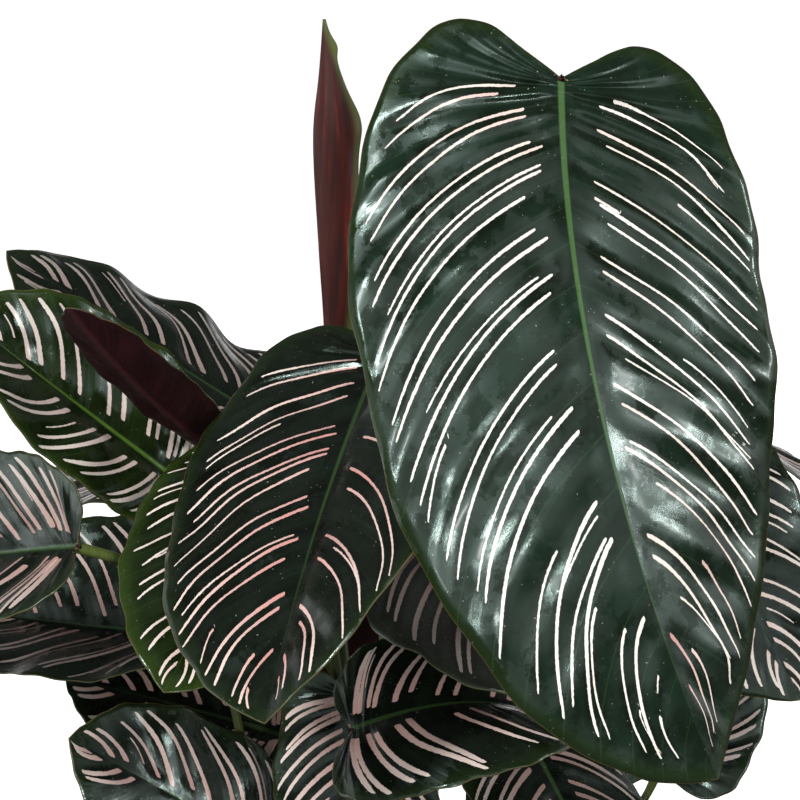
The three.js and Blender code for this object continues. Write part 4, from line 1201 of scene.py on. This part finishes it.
def makeCrumbs(name, crumbs, material):  # one lump, copied, turned and sunk a little
    chance = random.Random(crumbs["seed"])
    feet = [leaf["soil"] for leaf in leaves.values()] + [rolled["soil"]]
    deselectAll()
    bpy.ops.mesh.primitive_ico_sphere_add(subdivisions=2, radius=1)
    lump = bpy.context.object
    for vertex in lump.data.vertices:
        bump = noise.noise(vertex.co * 1.3 + Vector((crumbs["seed"], 0, 0)))
        vertex.co *= 1 + soil["lumpiness"] * bump
    copies = []
    while len(copies) < crumbs["count"]:
        far = soil["radius"] * math.sqrt(chance.random()) - soil["clearOfWall"]
        turn = chance.uniform(0, 2 * math.pi)
        x, y = far * math.cos(turn), far * math.sin(turn)
        if far < 0 or min(math.hypot(x - a, y - b) for a, b in feet) < soil["clearOfStalk"]:
            continue
        crumb = lump.copy()
        crumb.data = lump.data.copy()
        bpy.context.collection.objects.link(crumb)
        long = crumbs["size"] * chance.uniform(0.5, 1.3)
        high = long * crumbs["flatness"]
        crumb.scale = Vector((long, long * chance.uniform(0.5, 0.9), high)) * mm
        tilts = (chance.uniform(-0.5, 0.5), chance.uniform(-0.5, 0.5), chance.uniform(0, 6.28))
        crumb.rotation_euler = tilts
        crumb.location = Vector((x, y, soilHeight(x, y) + soil["over"] * high)) * mm
        copies.append(crumb)
    bpy.data.objects.remove(lump)
    deselectAll()
    for crumb in copies:
        crumb.select_set(True)
    bpy.context.view_layer.objects.active = copies[0]
    bpy.ops.object.join()
    bpy.ops.object.transform_apply(location=True, rotation=True, scale=True)
    piece = bpy.context.object
    piece.data.materials.append(material)
    finish(piece, name, "soil")


soilLooks = {
    "peat": "#20170f", "dry": "#4a3826", "bark": "#4b2f1d", "barkDark": "#22150d",
    "perlite": "#d9d6cc", "perliteDusty": "#b9b4a6",
}


def makeEarthMaterial(name, dark, light, size, rough):  # mottled matter with a broken, matte surface
    material, tree, place = newMaterial(name)
    mottle = addNode(tree, "ShaderNodeTexNoise", inputs={
        "Vector": place["Object"], "Scale": 1 / (size * mm), "Detail": 6, "Roughness": 0.7})
    base = layOver(tree, colour(dark), colour(light), mottle.outputs["Fac"], 0.38, 0.68, 1, "LINEAR")
    bump = addNode(tree, "ShaderNodeBump", inputs={
        "Height": mottle.outputs["Fac"], "Strength": 0.9, "Distance": 0.6 * mm})
    shader = addNode(tree, "ShaderNodeBsdfPrincipled", inputs={
        "Base Color": base, "Roughness": rough, "Normal": bump.outputs[0]})
    addNode(tree, "ShaderNodeOutputMaterial", inputs={"Surface": shader.outputs[0]})
    return material


# crumbly dull peat, fibrous bark chips, white glassy foam
peat = makeEarthMaterial("peatFibrous", soilLooks["peat"], soilLooks["dry"], 3.5, 0.95)
bark = makeEarthMaterial("barkChips", soilLooks["barkDark"], soilLooks["bark"], 2.5, 0.85)
perlite = makeEarthMaterial("perliteExpanded", soilLooks["perliteDusty"], soilLooks["perlite"], 1.2, 0.8)
makeSoilBed()
makeCrumbs("soilBark", soil["bark"], bark)
makeCrumbs("soilPerlite", soil["perlite"], perlite)
print("soil made")


# Stage and light

stage = {
    "floor": 26, "floorTone": "#ffffff", "glow": 0.42,  # metres across; its glow keeps it white
    "fibre": 0.9,  # waves of the paper's fibre in each millimetre
    "horizon": 0.95, "overhead": 0.1,  # a white wall at eye level, dim above and below it
    "wallMiddle": 0.1, "wallEdge": (0.1, 0.28),  # as the height of a direction, 1 straight up
    "aim": (0.02, -0.05, 0.42),
    "sun": {"place": (-0.9, -1.45, 1.75), "spread": 10, "strength": 2.4},
}
lamps = {
    "windowLeft": {"place": (-0.45, -2.45, 1.75), "width": 0.75, "height": 1.7, "power": 3.4},
    "windowRight": {"place": (0.75, -2.35, 1.75), "width": 1.05, "height": 1.7, "power": 5},
    "right": {"place": (2.2, -1.15, 1.2), "width": 0.9, "height": 1.4, "power": 4},
    "left": {"place": (-1.2, -0.2, 0.12), "width": 0.8, "height": 0.5, "power": 3},
    "low": {"place": (0.28, -2.35, 0.56), "width": 0.2, "height": 0.24, "power": 18},
    "side": {"place": (1.75, -0.42, 0.72), "width": 0.2, "height": 0.24, "power": 8},
    "back": {"place": (0.3, 2.3, 0.75), "width": 1.4, "height": 1, "power": 22, "mirrored": False},
}


def makeFloor():  # seamless paper, matte
    material, tree, place = newMaterial("studioPaper")
    fibre = addNode(tree, "ShaderNodeTexNoise", inputs={
        "Vector": place["Object"], "Scale": stage["fibre"] / mm, "Detail": 2})
    bump = addNode(tree, "ShaderNodeBump", inputs={
        "Height": fibre.outputs["Fac"], "Strength": 0.1, "Distance": 0.1 * mm})
    shader = addNode(tree, "ShaderNodeBsdfPrincipled", inputs={
        "Base Color": colour(stage["floorTone"]), "Roughness": 0.9, "Specular IOR Level": 0.1,
        "Emission Color": colour(stage["floorTone"]), "Emission Strength": stage["glow"],
        "Normal": bump.outputs[0]})
    addNode(tree, "ShaderNodeOutputMaterial", inputs={"Surface": shader.outputs[0]})
    deselectAll()
    bpy.ops.mesh.primitive_plane_add(size=stage["floor"])
    floor = bpy.context.object
    floor.name = "floor"
    floor.data.materials.append(material)
    floor.visible_diffuse = False  # the paper neither lights the plant nor shows in its gloss
    floor.visible_glossy = False


def addLamp(kind, name, place):  # turned to the plant
    toPlant = Vector(stage["aim"]) - Vector(place)
    turn = toPlant.to_track_quat("-Z", "Y").to_euler()
    bpy.ops.object.light_add(type=kind, location=place, rotation=turn)
    lamp = bpy.context.object
    lamp.name = name
    return lamp


def makeLights():
    sun = addLamp("SUN", "sun", stage["sun"]["place"])
    sun.data.angle = math.radians(stage["sun"]["spread"])
    sun.data.energy = stage["sun"]["strength"]
    for name, settings in lamps.items():
        lamp = addLamp("AREA", name, settings["place"])
        lamp.data.shape = "RECTANGLE"
        lamp.data.size, lamp.data.size_y = settings["width"], settings["height"]
        lamp.data.energy = settings["power"]
        lamp.visible_camera = False
        lamp.visible_glossy = settings.get("mirrored", True)


def makeWorld():  # bright round the horizon, dim elsewhere
    world = bpy.data.worlds.new("studio")
    bpy.context.scene.world = world
    world.use_nodes = True
    tree = world.node_tree
    tree.nodes.clear()
    direction = addNode(tree, "ShaderNodeTexCoord").outputs["Generated"]
    height = addNode(tree, "ShaderNodeSeparateXYZ", inputs={0: direction}).outputs["Z"]
    fromMiddle = addNode(tree, "ShaderNodeMath", {"operation": "SUBTRACT"}, {
        0: height, 1: stage["wallMiddle"]})
    offWall = addNode(tree, "ShaderNodeMath", {"operation": "ABSOLUTE"}, {0: fromMiddle.outputs[0]})
    edgeStart, edgeEnd = stage["wallEdge"]
    strength = addNode(tree, "ShaderNodeMapRange", {"interpolation_type": "SMOOTHSTEP"}, {
        "Value": offWall.outputs[0], "From Min": edgeStart, "From Max": edgeEnd,
        "To Min": stage["horizon"], "To Max": stage["overhead"]})
    sky = addNode(tree, "ShaderNodeBackground", inputs={
        "Color": colour("#ffffff"), "Strength": strength.outputs[0]})
    addNode(tree, "ShaderNodeOutputWorld", inputs={"Surface": sky.outputs[0]})


makeFloor()
makeLights()
makeWorld()
bpy.context.scene.view_settings.view_transform = "Standard"
print("stage and lights made")
